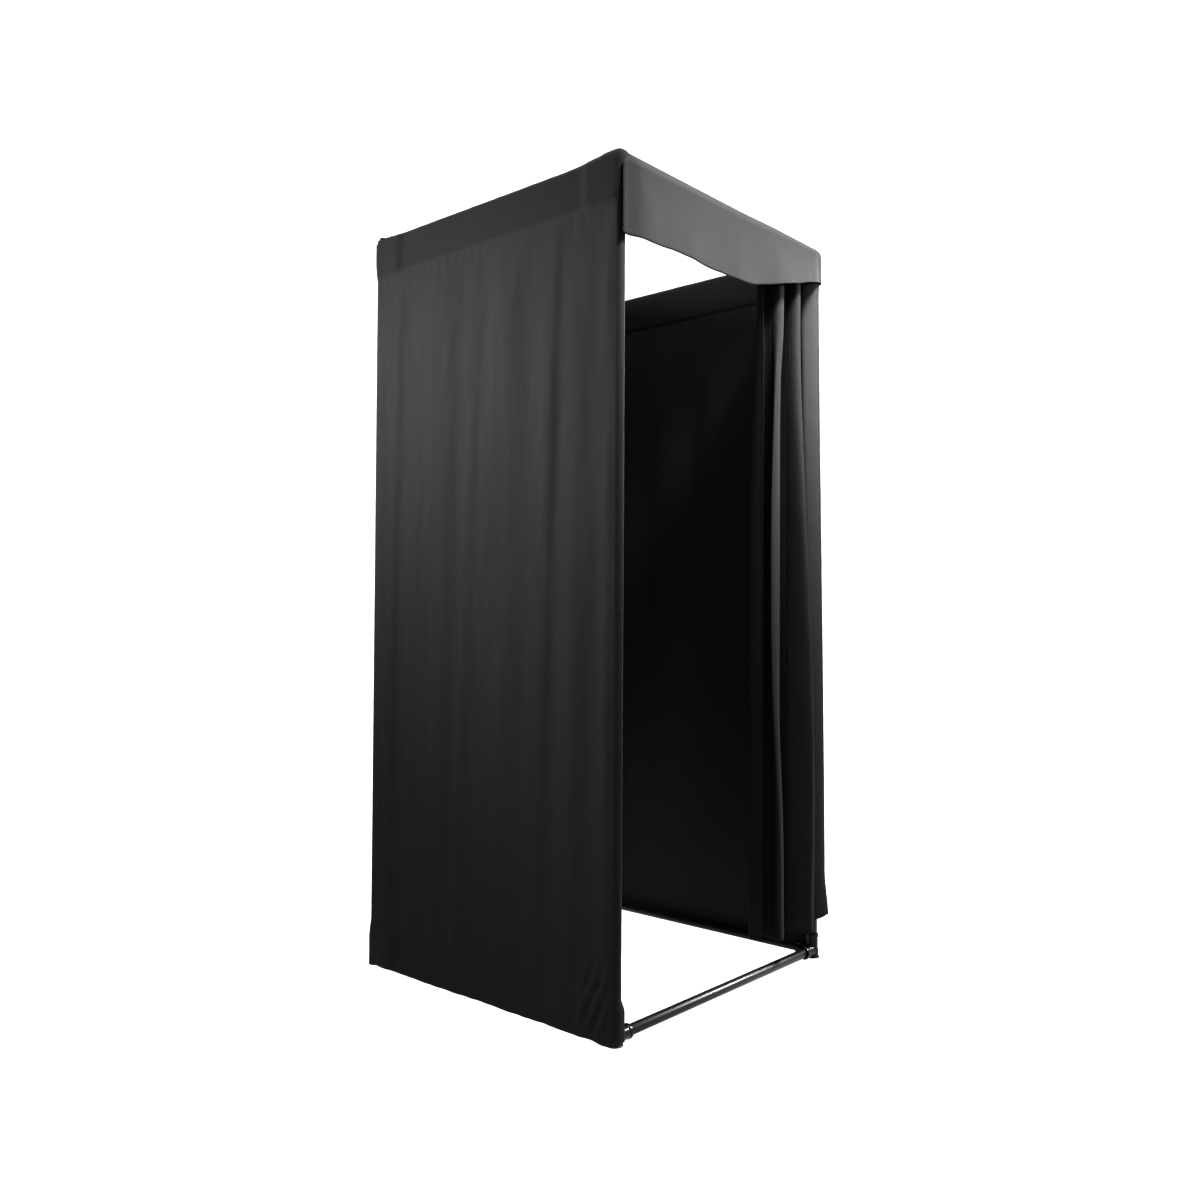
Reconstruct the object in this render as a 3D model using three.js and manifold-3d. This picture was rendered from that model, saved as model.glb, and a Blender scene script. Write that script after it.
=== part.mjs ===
// Portable fitting room: a knock-down tube frame with three cloth walls,
// a front valance and a curtain on rings.
// Millimetres, +Z up. The doorway faces -Y. The origin is on the floor at the middle of the four posts.
import * as THREE from "three";
import { mergeVertices } from "three/addons/utils/BufferGeometryUtils.js";
import Module from "manifold-3d";

const wasm = await Module();
wasm.setup();

// Frame
const postSpanX = 856; // between post axes, left to right
const postSpanY = 856; // between post axes, front to back
const overallHeight = 2000; // floor to the top of the corner caps
const tubeRadius = 12.5;
const tubeWall = 1.2;
const fitGap = 0.3; // between pieces that plug together, or rest on each other
const roundSides = 12; // facets round a tube

// Corner fittings, each a ball with three sockets
const socketWall = 3.2;
const socketLength = 48; // corner centre to the mouth of a socket
const socketFloor = 16; // corner centre to the bottom of a bore
const collarRadius = 17.5;
const collarLength = 9;
const collarChamfer = 1.6;
const ballRadius = 17.5;
const baseDrop = 15; // rail axis down to the flat under a bottom corner
const capRise = 25; // rail axis up to the top of a top corner's cap
const capRadius = 11;
const capChamfer = 2.5;

// Push-in rubber feet
const footRadius = 20;
const footThickness = 4;
const footChamfer = 1.2;
const footStudRadius = 5;
const footStudLength = 7;

// Each post splits in two at a ferrule, locked by a spring button
const splitHeight = 1000;
const ferruleWall = 1.2;
const ferruleLength = 120;
const buttonRise = 32; // split line up to the button
const buttonRadius = 4;
const buttonProud = 2.6; // past the outside of the tube
const buttonDome = 1.2;
const buttonFlangeRadius = 6;
const buttonFlangeThickness = 1.4;
const buttonSides = 12;
const leafThickness = 0.8;
const leafWidth = 7;
const leafReach = 38; // down from the button
const leafKnee = 14;
const leafKneeInset = 1.2; // flange's inner face to the leaf's knee
const leafBend = 6; // knee to the free end, across the tube

// Cloth
const clothThickness = 1.6;
const lapThickness = 1.2; // the layer that returns round a tube, sewn to the sheet
const lapLength = 10; // how far that layer runs on the sheet before it turns
const sleeveGap = 0.5; // tube to the inside of a sleeve
const pocketDepth = 90; // rail axis down to the stitching of a top pocket
const sleeveSeam = 40; // post axis to the stitching of a post sleeve
const frontSleeveEnd = 127; // floor to the lower end of a front sleeve
const rearSleeveEnd = 85;
const rightSleeveTop = 150; // top of the cap down to the right front sleeve, behind the valance
const mouthGap = 4; // socket mouth to the end of a pocket or sleeve
const fittingEase = 30; // over which the cloth comes in from a fitting to the tube
const sheetTopRise = 9; // rail axis to the raw top edge of the sheet
const seamMargin = 3; // flat cloth kept past each line of stitching
const hemClear = 5; // floor to the hem
const sideHemFlare = 7; // how far a side wall's hem stands out
const backHemFlare = 20;
const hemFlareHeight = 120;
const rightHemLift = 27; // how much higher the right wall's hem sits at the front
const looseSleeveReach = 24; // how far the right front sleeve hangs past the post at its lower end
const looseSleeveOut = 9; // and how far it hangs outwards there
const foldPitch = 140;
const foldDepth = 5;
const foldFade = 70; // flat cloth at a seam to full folds, across the wall
const foldRamp = 280; // stitching to full folds, down the wall
const wallColumns = 22;
const wallRowShares = [0, 0.12, 0.28, 0.5, 0.75, 0.93, 0.955, 1];
const foldTiltShare = 0.35; // drift of a fold sideways, as a share of its drop
const foldFootShare = 0.35; // how much of a fold is left at the hem
const longFoldShare = 0.4; // part of the depth that comes from the longer waves
const longFoldPitch = 205;
const frontStartShare = 0.25; // of the half span, where a side wall's front part begins
const frontWidthShare = 0.5; // and the width over which it does
const loopSteps = 3; // facets in each quarter turn of a sleeve or pocket

// Valance over the front rail
const valanceEnd = 19.5; // post axis to the end of the valance over the rail
const valanceFlapOver = 2; // how far the front flap runs past the post axis
const valanceDrop = 176; // rail axis down to the front hem at its lowest
const valanceBackDrop = 30;
const valanceTopFlat = 6; // half width of the flat over the rail
const valanceShoulder = 18;
const valanceShoulderDrop = 6;
const valanceFront = 30; // rail axis to the front flap
const valanceBack = 26;
const valanceTuck = 9; // how much closer the flap lies at its two ends
const valanceTuckLength = 45;
const valanceBulge = 17; // where the bunched curtain pushes the flap out
const valanceColumns = 18;
const bulgePlaceShare = 0.3; // bulge's middle, as a share of the half span to the right
const bulgeWidthShare = 0.42;
const hemDropShares = [0.99, 0.98, 0.95, 0.98, 0.98, 1, 0.9, 0.77, 0.62, 0.47]; // left end to right end

// Curtain on rings
const ringInnerRadius = 20;
const ringWire = 1.5; // wire radius
const ringSegments = 16;
const ringWireSides = 5;
const ringCount = 5;
const ringPitch = 40; // between rings with the curtain drawn back
const ringPark = 53; // socket mouth to the first ring
const clipEyeRadius = 4;
const clipEyeHole = 2.2;
const clipEyeThickness = 2;
const clipDrop = 6; // eye centre down to the top of the jaws
const clipBridge = 2.5;
const clipJawThickness = 1;
const clipJawDepth = 7;
const clipJawLength = 12;
const clipSides = 10;
const curtainHem = 98; // floor to the curtain's hem
const headerFold = 26; // half depth of the folds at the top
const bodyFold = 50; // half depth of the folds lower down
const headerHeight = 150; // below which the folds open out, under the valance's hem
const foldOpening = 260; // height over which they do
const pleatSteps = 10;
const pleatRowShares = [0, 0.05, 0.12, 0.2, 0.4, 0.62, 0.82, 1];
// How far each fold's crest leans to the right at those heights, as shares of the ring pitch
const crestLeanShares = [
  [0, 0, 0, -0.1, -0.1, 0.4, 0.7, 0.6],
  [0, 0, 0, 0, -0.1, 0, 0.1, 0.1],
  [0, 0, -0.2, -0.6, -1.2, -0.8, -0.4, -0.4],
  [0, 0, 0, 0, -0.1, -0.1, 0, 0],
];
const crestRoundShare = 0.5; // below 1 makes the crest rounder than an ellipse
const leadingHemShare = 0.8; // cloth past the leading ring, as a share of the folds' half depth
const fixedEdge = 74; // cloth between the first ring and the right front post
const fixedEdgeSteps = 5;

// Sizes that follow from the ones above
const halfX = postSpanX / 2;
const halfY = postSpanY / 2;
const boreRadius = tubeRadius + fitGap;
const socketRadius = boreRadius + socketWall;
const railLowZ = footThickness + fitGap + baseDrop;
const railTopZ = overallHeight - capRise;
const tubeStart = socketFloor + fitGap; // corner centre to the end of a tube
const ferruleRadius = tubeRadius - tubeWall - fitGap;
const sheetOffset = collarRadius + fitGap + clothThickness / 2; // tube axis to the sheet, over a fitting
const tightOffset = tubeRadius + sleeveGap + clothThickness / 2; // and away from the fittings
// A loop's facets come nearer to the tube than its points do
const loopFlatShare = Math.cos(Math.PI / (4 * loopSteps));
const loopRadius = (tubeRadius + sleeveGap + lapThickness / 2) / loopFlatShare;
const pocketEnd = socketLength + mouthGap;
const sleeveOutside = loopRadius + lapThickness / 2 + fitGap; // post axis to what lies against a sleeve
// Post axis to the back wall's side edge, where its sheet meets the round of a sleeve
const backEdgeInset = Math.sqrt(sleeveOutside ** 2 - (tightOffset - clothThickness / 2) ** 2);
const flatShare = Math.cos(Math.PI / roundSides); // a facet's distance from the axis, for radius 1
const ringRadius = ringInnerRadius + ringWire;
const ringCentreZ = railTopZ + tubeRadius + fitGap - ringInnerRadius;
const ringFootZ = ringCentreZ - ringRadius; // middle of the wire at the bottom of a ring
const clipEyeZ = ringFootZ + ringWire + fitGap / 2 - clipEyeHole;
const headerZ = clipEyeZ - clipDrop - clipBridge - fitGap; // top edge of the curtain
const firstRingX = halfX - socketLength - ringPark;

const materials = {
  tube: new THREE.MeshStandardMaterial({ color: 0x1b1c1e, roughness: 0.35, metalness: 0.6 }),
  plastic: new THREE.MeshStandardMaterial({ color: 0x101012, roughness: 0.3, metalness: 0 }),
  rubber: new THREE.MeshStandardMaterial({ color: 0x141414, roughness: 0.85, metalness: 0 }),
  steel: new THREE.MeshStandardMaterial({ color: 0xa8aaad, roughness: 0.3, metalness: 1 }),
  wallCloth: new THREE.MeshStandardMaterial({ color: 0x1d1d1f, roughness: 0.9, metalness: 0 }),
  valanceCloth: new THREE.MeshStandardMaterial({ color: 0x2b2b2d, roughness: 0.8, metalness: 0 }),
};

const fittingRoom = new THREE.Group();

// A geometry as a manifold solid, with its shared vertices merged
function solidOf(geometry) {
  const bare = geometry.index ? geometry.toNonIndexed() : geometry.clone();
  for (const name of Object.keys(bare.attributes)) {
    if (name !== "position") bare.deleteAttribute(name);
  }
  const merged = mergeVertices(bare, 1e-4);
  return new wasm.Manifold(
    new wasm.Mesh({
      numProp: 3,
      vertProperties: new Float32Array(merged.attributes.position.array),
      triVerts: new Uint32Array(merged.index.array),
    }),
  );
}

// A manifold solid as a geometry
function geometryOf(solid) {
  const made = solid.getMesh();
  const geometry = new THREE.BufferGeometry();
  geometry.setAttribute("position", new THREE.BufferAttribute(made.vertProperties, 3));
  geometry.setIndex(new THREE.BufferAttribute(made.triVerts, 1));
  geometry.computeVertexNormals();
  return geometry;
}

function addPiece(name, solid, material, parent = fittingRoom) {
  const mesh = new THREE.Mesh(geometryOf(solid), material);
  mesh.name = name;
  parent.add(mesh);
  return mesh;
}

const smooth = (x) => {
  const t = Math.min(1, Math.max(0, x));
  return t * t * (3 - 2 * t);
};

// A turned solid from [radius, height] pairs, standing along the given direction
function turned(profile, direction, sides, place = new THREE.Vector3()) {
  const points = profile.map(([radius, height]) => new THREE.Vector2(radius, height));
  const geometry = new THREE.LatheGeometry(points, sides);
  geometry.applyQuaternion(
    new THREE.Quaternion().setFromUnitVectors(new THREE.Vector3(0, 1, 0), direction),
  );
  geometry.translate(place.x, place.y, place.z);
  return solidOf(geometry);
}

function rod(radius, start, end, direction, sides, place) {
  return turned([[0, start], [radius, start], [radius, end], [0, end]], direction, sides, place);
}

function pipe(radius, wall, start, end, direction, place) {
  const inner = radius - wall;
  const profile = [[inner, start], [radius, start], [radius, end], [inner, end], [inner, start]];
  return turned(profile, direction, roundSides, place);
}

// The outline of a strip of the given thickness that follows a line
function ribbonShape(line, thickness) {
  const left = [];
  const right = [];
  line.forEach((point, i) => {
    const before = line[Math.max(0, i - 1)];
    const after = line[Math.min(line.length - 1, i + 1)];
    const along = after.clone().sub(before).normalize();
    const side = new THREE.Vector2(-along.y, along.x).multiplyScalar(thickness / 2);
    left.push(point.clone().add(side));
    right.push(point.clone().sub(side));
  });
  return new THREE.Shape([...left, ...right.reverse()]);
}

function prism(shape, depth, basis, place) {
  const geometry = new THREE.ExtrudeGeometry(shape, { depth, bevelEnabled: false });
  geometry.applyMatrix4(new THREE.Matrix4().makeBasis(...basis).setPosition(place));
  return solidOf(geometry);
}

// A sheet of even thickness through a grid of points, pointAt(column, row)
function thickSheet(columns, rows, pointAt, thickness) {
  const middle = [];
  for (let row = 0; row <= rows; row++) {
    for (let column = 0; column <= columns; column++) middle.push(pointAt(column, row));
  }
  const at = (column, row) =>
    middle[Math.min(rows, Math.max(0, row)) * (columns + 1) + Math.min(columns, Math.max(0, column))];
  const positions = [];
  for (const side of [1, -1]) {
    for (let row = 0; row <= rows; row++) {
      for (let column = 0; column <= columns; column++) {
        const across = at(column + 1, row).clone().sub(at(column - 1, row));
        const down = at(column, row + 1).clone().sub(at(column, row - 1));
        const normal = down.cross(across).normalize();
        const point = at(column, row).clone().addScaledVector(normal, (side * thickness) / 2);
        positions.push(point.x, point.y, point.z);
      }
    }
  }
  const layer = (columns + 1) * (rows + 1);
  const front = (column, row) => row * (columns + 1) + column;
  const back = (column, row) => layer + front(column, row);
  const faces = [];
  const quad = (a, b, c, d) => faces.push(a, b, c, a, c, d);
  for (let row = 0; row < rows; row++) {
    for (let c = 0; c < columns; c++) {
      quad(front(c, row), front(c, row + 1), front(c + 1, row + 1), front(c + 1, row));
      quad(back(c, row), back(c + 1, row), back(c + 1, row + 1), back(c, row + 1));
    }
    quad(front(0, row + 1), front(0, row), back(0, row), back(0, row + 1));
    quad(front(columns, row), front(columns, row + 1), back(columns, row + 1), back(columns, row));
  }
  for (let c = 0; c < columns; c++) {
    quad(front(c, 0), front(c + 1, 0), back(c + 1, 0), back(c, 0));
    quad(front(c + 1, rows), front(c, rows), back(c, rows), back(c + 1, rows));
  }
  const geometry = new THREE.BufferGeometry();
  geometry.setAttribute("position", new THREE.Float32BufferAttribute(positions, 3));
  geometry.setIndex(faces);
  return solidOf(geometry);
}

const corners = [
  { name: "front_left", x: -1, y: -1 },
  { name: "front_right", x: 1, y: -1 },
  { name: "back_left", x: -1, y: 1 },
  { name: "back_right", x: 1, y: 1 },
];
const up = new THREE.Vector3(0, 0, 1);
const down = new THREE.Vector3(0, 0, -1);
const right = new THREE.Vector3(1, 0, 0);
const rearward = new THREE.Vector3(0, 1, 0);

// One fitting, about its own centre: a ball and a stem, with a socket along each direction
function cornerFitting(directions, stem) {
  const socketProfile = [
    [0, 0],
    [socketRadius, 0],
    [socketRadius, socketLength - collarLength - collarChamfer],
    [collarRadius, socketLength - collarLength],
    [collarRadius, socketLength - collarChamfer],
    [collarRadius - collarChamfer, socketLength],
    [0, socketLength],
  ];
  const ball = solidOf(new THREE.SphereGeometry(ballRadius, roundSides, roundSides / 2));
  let body = ball.add(stem);
  for (const direction of directions) body = body.add(turned(socketProfile, direction, roundSides));
  for (const direction of directions) {
    const overrun = socketLength + collarLength;
    body = body.subtract(rod(boreRadius, socketFloor, overrun, direction, roundSides));
  }
  return body;
}

function addBottomCorner(corner) {
  const directions = [new THREE.Vector3(-corner.x, 0, 0), new THREE.Vector3(0, -corner.y, 0), up];
  const holeDepth = footStudLength - fitGap;
  const base = rod(ballRadius, 0, baseDrop, down, roundSides);
  const below = rod(footRadius + ballRadius, baseDrop, baseDrop + ballRadius, down, roundSides);
  const hole = rod(footStudRadius + fitGap, baseDrop - holeDepth, baseDrop + ballRadius, down, roundSides);
  const body = cornerFitting(directions, base).subtract(below).subtract(hole);
  const mesh = addPiece(`bottom_corner_${corner.name}`, body, materials.plastic);
  mesh.position.set(corner.x * halfX, corner.y * halfY, railLowZ);
}

function addTopCorner(corner) {
  const directions = [new THREE.Vector3(-corner.x, 0, 0), new THREE.Vector3(0, -corner.y, 0), down];
  const capProfile = [
    [0, 0],
    [capRadius, 0],
    [capRadius, capRise - capChamfer],
    [capRadius - capChamfer, capRise],
    [0, capRise],
  ];
  const body = cornerFitting(directions, turned(capProfile, up, roundSides));
  const mesh = addPiece(`top_corner_${corner.name}`, body, materials.plastic);
  mesh.position.set(corner.x * halfX, corner.y * halfY, railTopZ);
}

function addFoot(corner) {
  const profile = [
    [0, 0],
    [footRadius - footChamfer, 0],
    [footRadius, footChamfer],
    [footRadius, footThickness],
    [footStudRadius, footThickness],
    [footStudRadius, footThickness + footStudLength - fitGap],
    [0, footThickness + footStudLength - fitGap],
  ];
  const mesh = addPiece(`foot_${corner.name}`, turned(profile, up, roundSides), materials.rubber);
  mesh.position.set(corner.x * halfX, corner.y * halfY, 0);
}

// A button faces along the side wall, into the room that its sleeve has beside the post
const buttonSide = (corner) => new THREE.Vector3(0, -corner.y, 0);

// A hole for the spring button, through one side of a post only
function buttonHole(corner) {
  const side = buttonSide(corner);
  const place = new THREE.Vector3(0, 0, splitHeight + buttonRise);
  return rod(buttonRadius + fitGap, 0, tubeRadius + tubeWall, side, buttonSides, place);
}

function addPost(corner) {
  const lowEnd = railLowZ + tubeStart;
  const highEnd = railTopZ - tubeStart;
  const lower = pipe(tubeRadius, tubeWall, lowEnd, splitHeight - fitGap / 2, up);
  const upper = pipe(tubeRadius, tubeWall, splitHeight + fitGap / 2, highEnd, up);
  const ends = [splitHeight - ferruleLength / 2, splitHeight + ferruleLength / 2];
  const ferrule = pipe(ferruleRadius, ferruleWall, ...ends, up);
  const hole = buttonHole(corner);
  const pieces = [
    addPiece(`post_lower_${corner.name}`, lower, materials.tube),
    addPiece(`post_upper_${corner.name}`, upper.subtract(hole), materials.tube),
    addPiece(`post_ferrule_${corner.name}`, ferrule.subtract(hole), materials.steel),
  ];
  for (const piece of pieces) piece.position.set(corner.x * halfX, corner.y * halfY, 0);
}

// The button with its flange inside the ferrule and the leaf that springs it outwards
function addButton(corner) {
  const side = buttonSide(corner);
  const ferruleInside = (ferruleRadius - ferruleWall) * flatShare;
  const flangeFace = Math.sqrt(ferruleInside ** 2 - buttonFlangeRadius ** 2) - fitGap;
  const flangeBack = flangeFace - buttonFlangeThickness;
  const tip = tubeRadius + buttonProud;
  const profile = [
    [0, flangeBack],
    [buttonFlangeRadius, flangeBack],
    [buttonFlangeRadius, flangeFace],
    [buttonRadius, flangeFace],
    [buttonRadius, tip - buttonDome],
    [buttonRadius - buttonDome, tip],
    [0, tip],
  ];
  const leafLine = [
    new THREE.Vector2(flangeBack + leafThickness / 2, buttonRadius),
    new THREE.Vector2(flangeBack + leafThickness / 2, -buttonRadius),
    new THREE.Vector2(flangeBack - leafKneeInset, -leafKnee),
    new THREE.Vector2(flangeBack - leafKneeInset - leafBend, -leafReach),
  ];
  // The leaf's outline is (distance from the post axis, height), and it is extruded across the post
  const basis = [side, up, side.clone().cross(up)];
  const edge = basis[2].clone().multiplyScalar(-leafWidth / 2);
  const leaf = prism(ribbonShape(leafLine, leafThickness), leafWidth, basis, edge);
  const solid = turned(profile, side, buttonSides).add(leaf);
  const mesh = addPiece(`snap_button_${corner.name}`, solid, materials.steel);
  mesh.position.set(corner.x * halfX, corner.y * halfY, splitHeight + buttonRise);
}

function addRails(level, z) {
  const endX = halfX - tubeStart;
  const endY = halfY - tubeStart;
  const across = () => pipe(tubeRadius, tubeWall, -endX, endX, right);
  const along = () => pipe(tubeRadius, tubeWall, -endY, endY, rearward);
  addPiece(`${level}_rail_front`, across(), materials.tube).position.set(0, -halfY, z);
  addPiece(`${level}_rail_back`, across(), materials.tube).position.set(0, halfY, z);
  addPiece(`${level}_rail_left`, along(), materials.tube).position.set(-halfX, 0, z);
  addPiece(`${level}_rail_right`, along(), materials.tube).position.set(halfX, 0, z);
}

// The line of cloth that leaves the sheet, goes round a tube at the origin and comes back to the stitching.
// The first coordinate runs past the tube, the second out of the wall. The sheet lies at out.
function loopLine(seam, out, reach) {
  const line = [new THREE.Vector2(-lapLength, out)];
  for (let i = 0; i <= loopSteps; i++) {
    const angle = (Math.PI / 2) * (1 - i / loopSteps);
    line.push(new THREE.Vector2(reach * Math.cos(angle), out * Math.sin(angle)));
  }
  for (let i = 1; i <= loopSteps; i++) {
    const angle = (-Math.PI / 2) * (i / loopSteps);
    line.push(new THREE.Vector2(reach * Math.cos(angle), loopRadius * Math.sin(angle)));
  }
  const seamAngle = Math.atan2(out, -seam);
  const tangent = seamAngle + Math.acos(loopRadius / Math.hypot(seam, out)) - 2 * Math.PI;
  for (const angle of [(tangent - Math.PI / 2) / 2, tangent]) {
    line.push(new THREE.Vector2(loopRadius * Math.cos(angle), loopRadius * Math.sin(angle)));
  }
  line.push(new THREE.Vector2(-seam, out));
  return line;
}

// A closed strip of the loop's cloth, swept through stations. placeAt turns a loop point into a place.
function sweptLoop(seam, stations, sizeAt, placeAt) {
  const lines = stations.map((station) => {
    const { out, reach } = sizeAt(station);
    return loopLine(seam, out, reach);
  });
  const pointAt = (column, row) => placeAt(lines[row][column], stations[row]);
  return thickSheet(lines[0].length - 1, stations.length - 1, pointAt, lapThickness);
}

// One of the cloth walls, built as if it faced -Y: u along X, outwards along -Y.
// edgeInset is how far its sides stop short of the post axes, frontSide the sign of u at the doorway,
// and loose says that the front sleeve hangs loose.
function wallSolid({ halfSpan, edgeInset, frontSide, phase, hemFlare, hemLift, loose, sleeves }) {
  const flatEnd = halfSpan - sleeveSeam - seamMargin;
  const seamZ = railTopZ - pocketDepth - seamMargin;
  const pocketZ = railTopZ - socketLength - fittingEase;
  const frontShare = (u) => (frontSide * u) / halfSpan - frontStartShare;
  const frontness = (u) => (frontSide ? smooth(frontShare(u) / frontWidthShare) : 0);
  const looseness = (u, z) => (loose ? smooth((railTopZ - z) / railTopZ) * frontness(u) : 0);

  // How far the middle of the sheet stands outside the tubes' plane
  function standOff(u, z) {
    const eased = 2 * fittingEase + socketLength;
    const beside = smooth((Math.abs(u) - halfSpan + eased) / fittingEase);
    const high = smooth((z - railTopZ + eased) / fittingEase);
    const low = smooth((railLowZ + eased - z) / fittingEase);
    const flare = hemFlare * smooth((hemFlareHeight - z) / hemFlareHeight);
    const overFitting = (sheetOffset - tightOffset) * beside * Math.max(high, low);
    return tightOffset + overFitting + flare + looseSleeveOut * looseness(u, z);
  }

  function folds(u, z) {
    const below = seamZ - z;
    const across = smooth((flatEnd - Math.abs(u)) / foldFade);
    const left = 1 - (1 - foldFootShare) * smooth(below / seamZ);
    const drift = (foldTiltShare * below) / overallHeight;
    const short = Math.cos(2 * Math.PI * (u / foldPitch + drift) + phase);
    const long = Math.cos(2 * Math.PI * (u / longFoldPitch - drift) + 2 * phase);
    const wave = (1 - longFoldShare) * short + longFoldShare * long;
    return foldDepth * wave * across * smooth(below / foldRamp) * left;
  }

  const heightAt = (u, row) => {
    const hem = hemClear + hemLift * frontness(u);
    if (row === 0) return railTopZ + sheetTopRise;
    if (row === 1) return pocketZ;
    return seamZ + (hem - seamZ) * wallRowShares[row - 2];
  };
  const rows = wallRowShares.length + 1;
  const pointAt = (column, row) => {
    let u = flatEnd * ((2 * (column - 1)) / wallColumns - 1);
    if (column === 0) u = edgeInset - halfSpan;
    if (column === wallColumns + 2) u = halfSpan - edgeInset;
    const z = heightAt(u, row);
    return new THREE.Vector3(u, -standOff(u, z) - folds(u, z), z);
  };
  let wall = thickSheet(wallColumns + 2, rows, pointAt, clothThickness);

  const pocketHalf = halfSpan - pocketEnd;
  const easedHalf = halfSpan - socketLength - 2 * fittingEase;
  const pocketStations = [-pocketHalf, -easedHalf, easedHalf, pocketHalf];
  const pocketSize = (u) => ({ out: standOff(u, railTopZ), reach: loopRadius });
  const pocketPlace = (point, u) => new THREE.Vector3(u, -point.y, railTopZ + point.x);
  wall = wall.add(sweptLoop(pocketDepth, pocketStations, pocketSize, pocketPlace));

  for (const { end, top, bottom } of sleeves) {
    const u = end * halfSpan;
    const isLoose = loose && end === frontSide;
    const size = (z) => ({
      out: standOff(u, z),
      reach: loopRadius + (isLoose ? looseSleeveReach * looseness(u, z) : 0),
    });
    const between = wallRowShares.map((share, i) => heightAt(u, i + 2)).filter((z) => z < top && z > bottom);
    const heights = [top, ...between, bottom];
    // Stations between two of the same size add nothing
    const needed = heights.filter((z, i) => {
      const ends = [heights[i - 1] ?? z - 1, heights[i + 1] ?? z + 1];
      return i === 0 || i === heights.length - 1 || ends.some((other) => size(other).out !== size(z).out);
    });
    const stations = end > 0 ? needed : needed.reverse();
    const place = (point, z) => new THREE.Vector3(end * (halfSpan + point.x), -point.y, z);
    wall = wall.add(sweptLoop(sleeveSeam, stations, size, place));
  }
  return wall;
}

function addWalls() {
  const sleeveTop = railTopZ - pocketEnd;
  const rear = (end) => ({ end, top: sleeveTop, bottom: rearSleeveEnd });
  const leftFront = { end: 1, top: sleeveTop, bottom: frontSleeveEnd };
  const rightFront = { end: -1, top: overallHeight - rightSleeveTop, bottom: frontSleeveEnd };
  const side = { halfSpan: halfY, edgeInset: 0, hemFlare: sideHemFlare };
  const walls = [
    {
      name: "left_wall",
      place: [-halfX, 0, -Math.PI / 2],
      form: { ...side, frontSide: 1, phase: 0.4, hemLift: 0, sleeves: [rear(-1), leftFront] },
    },
    {
      name: "right_wall",
      place: [halfX, 0, Math.PI / 2],
      form: {
        ...side,
        frontSide: -1,
        phase: 1.9,
        hemLift: rightHemLift,
        loose: true,
        sleeves: [rear(1), rightFront],
      },
    },
    {
      name: "back_wall",
      place: [0, halfY, Math.PI],
      form: {
        halfSpan: halfX,
        edgeInset: backEdgeInset,
        frontSide: 0,
        phase: 3.1,
        hemFlare: backHemFlare,
        hemLift: 0,
        sleeves: [],
      },
    },
  ];
  for (const { name, place, form } of walls) {
    const mesh = addPiece(name, wallSolid(form), materials.wallCloth);
    mesh.position.set(place[0], place[1], 0);
    mesh.rotation.z = place[2];
  }
}

// The valance lies over the front rail, clear of the rings, and hangs down in front
function addValance() {
  const topZ = sheetOffset;
  const shareAt = (share) => {
    const place = share * (hemDropShares.length - 1);
    const i = Math.min(hemDropShares.length - 2, Math.floor(place));
    return hemDropShares[i] + (hemDropShares[i + 1] - hemDropShares[i]) * (place - i);
  };
  const flapShares = [0.05, 0.4, 0.7, 1]; // places down the front flap
  const backTurn = 4; // points before the front flap begins
  const lastRow = backTurn + 1 + flapShares.length;
  const pointAt = (column, row) => {
    const share = column / valanceColumns;
    const reach = row > backTurn ? halfX + valanceFlapOver : halfX - valanceEnd;
    const x = (2 * share - 1) * reach;
    const fromEnd = (halfX - Math.abs(x)) / valanceTuckLength;
    const tuck = valanceTuck * (1 - smooth(fromEnd));
    const offBulge = (x / halfX - bulgePlaceShare * 2) / bulgeWidthShare;
    const bulge = valanceBulge * Math.exp(-offBulge * offBulge);
    const drop = valanceDrop * shareAt(share);
    if (row === 0) return new THREE.Vector3(x, valanceBack, -valanceBackDrop);
    if (row === 1) return new THREE.Vector3(x, valanceBack, -valanceShoulderDrop);
    if (row === 2) return new THREE.Vector3(x, valanceShoulder, topZ - valanceShoulderDrop);
    if (row === 3) return new THREE.Vector3(x, valanceTopFlat, topZ);
    if (row === backTurn) return new THREE.Vector3(x, -valanceTopFlat, topZ);
    if (row === backTurn + 1) return new THREE.Vector3(x, -valanceShoulder, topZ - valanceShoulderDrop);
    const down = flapShares[row - backTurn - 2];
    return new THREE.Vector3(x, -valanceFront + tuck - bulge * down, -drop * down);
  };
  const solid = thickSheet(valanceColumns, lastRow, pointAt, clothThickness);
  addPiece("valance", solid, materials.valanceCloth).position.set(0, -halfY, railTopZ);
}

// Half depth of the curtain's folds at a height
function foldAt(z) {
  return headerFold + (bodyFold - headerFold) * smooth((headerZ - headerHeight - z) / foldOpening);
}

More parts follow.
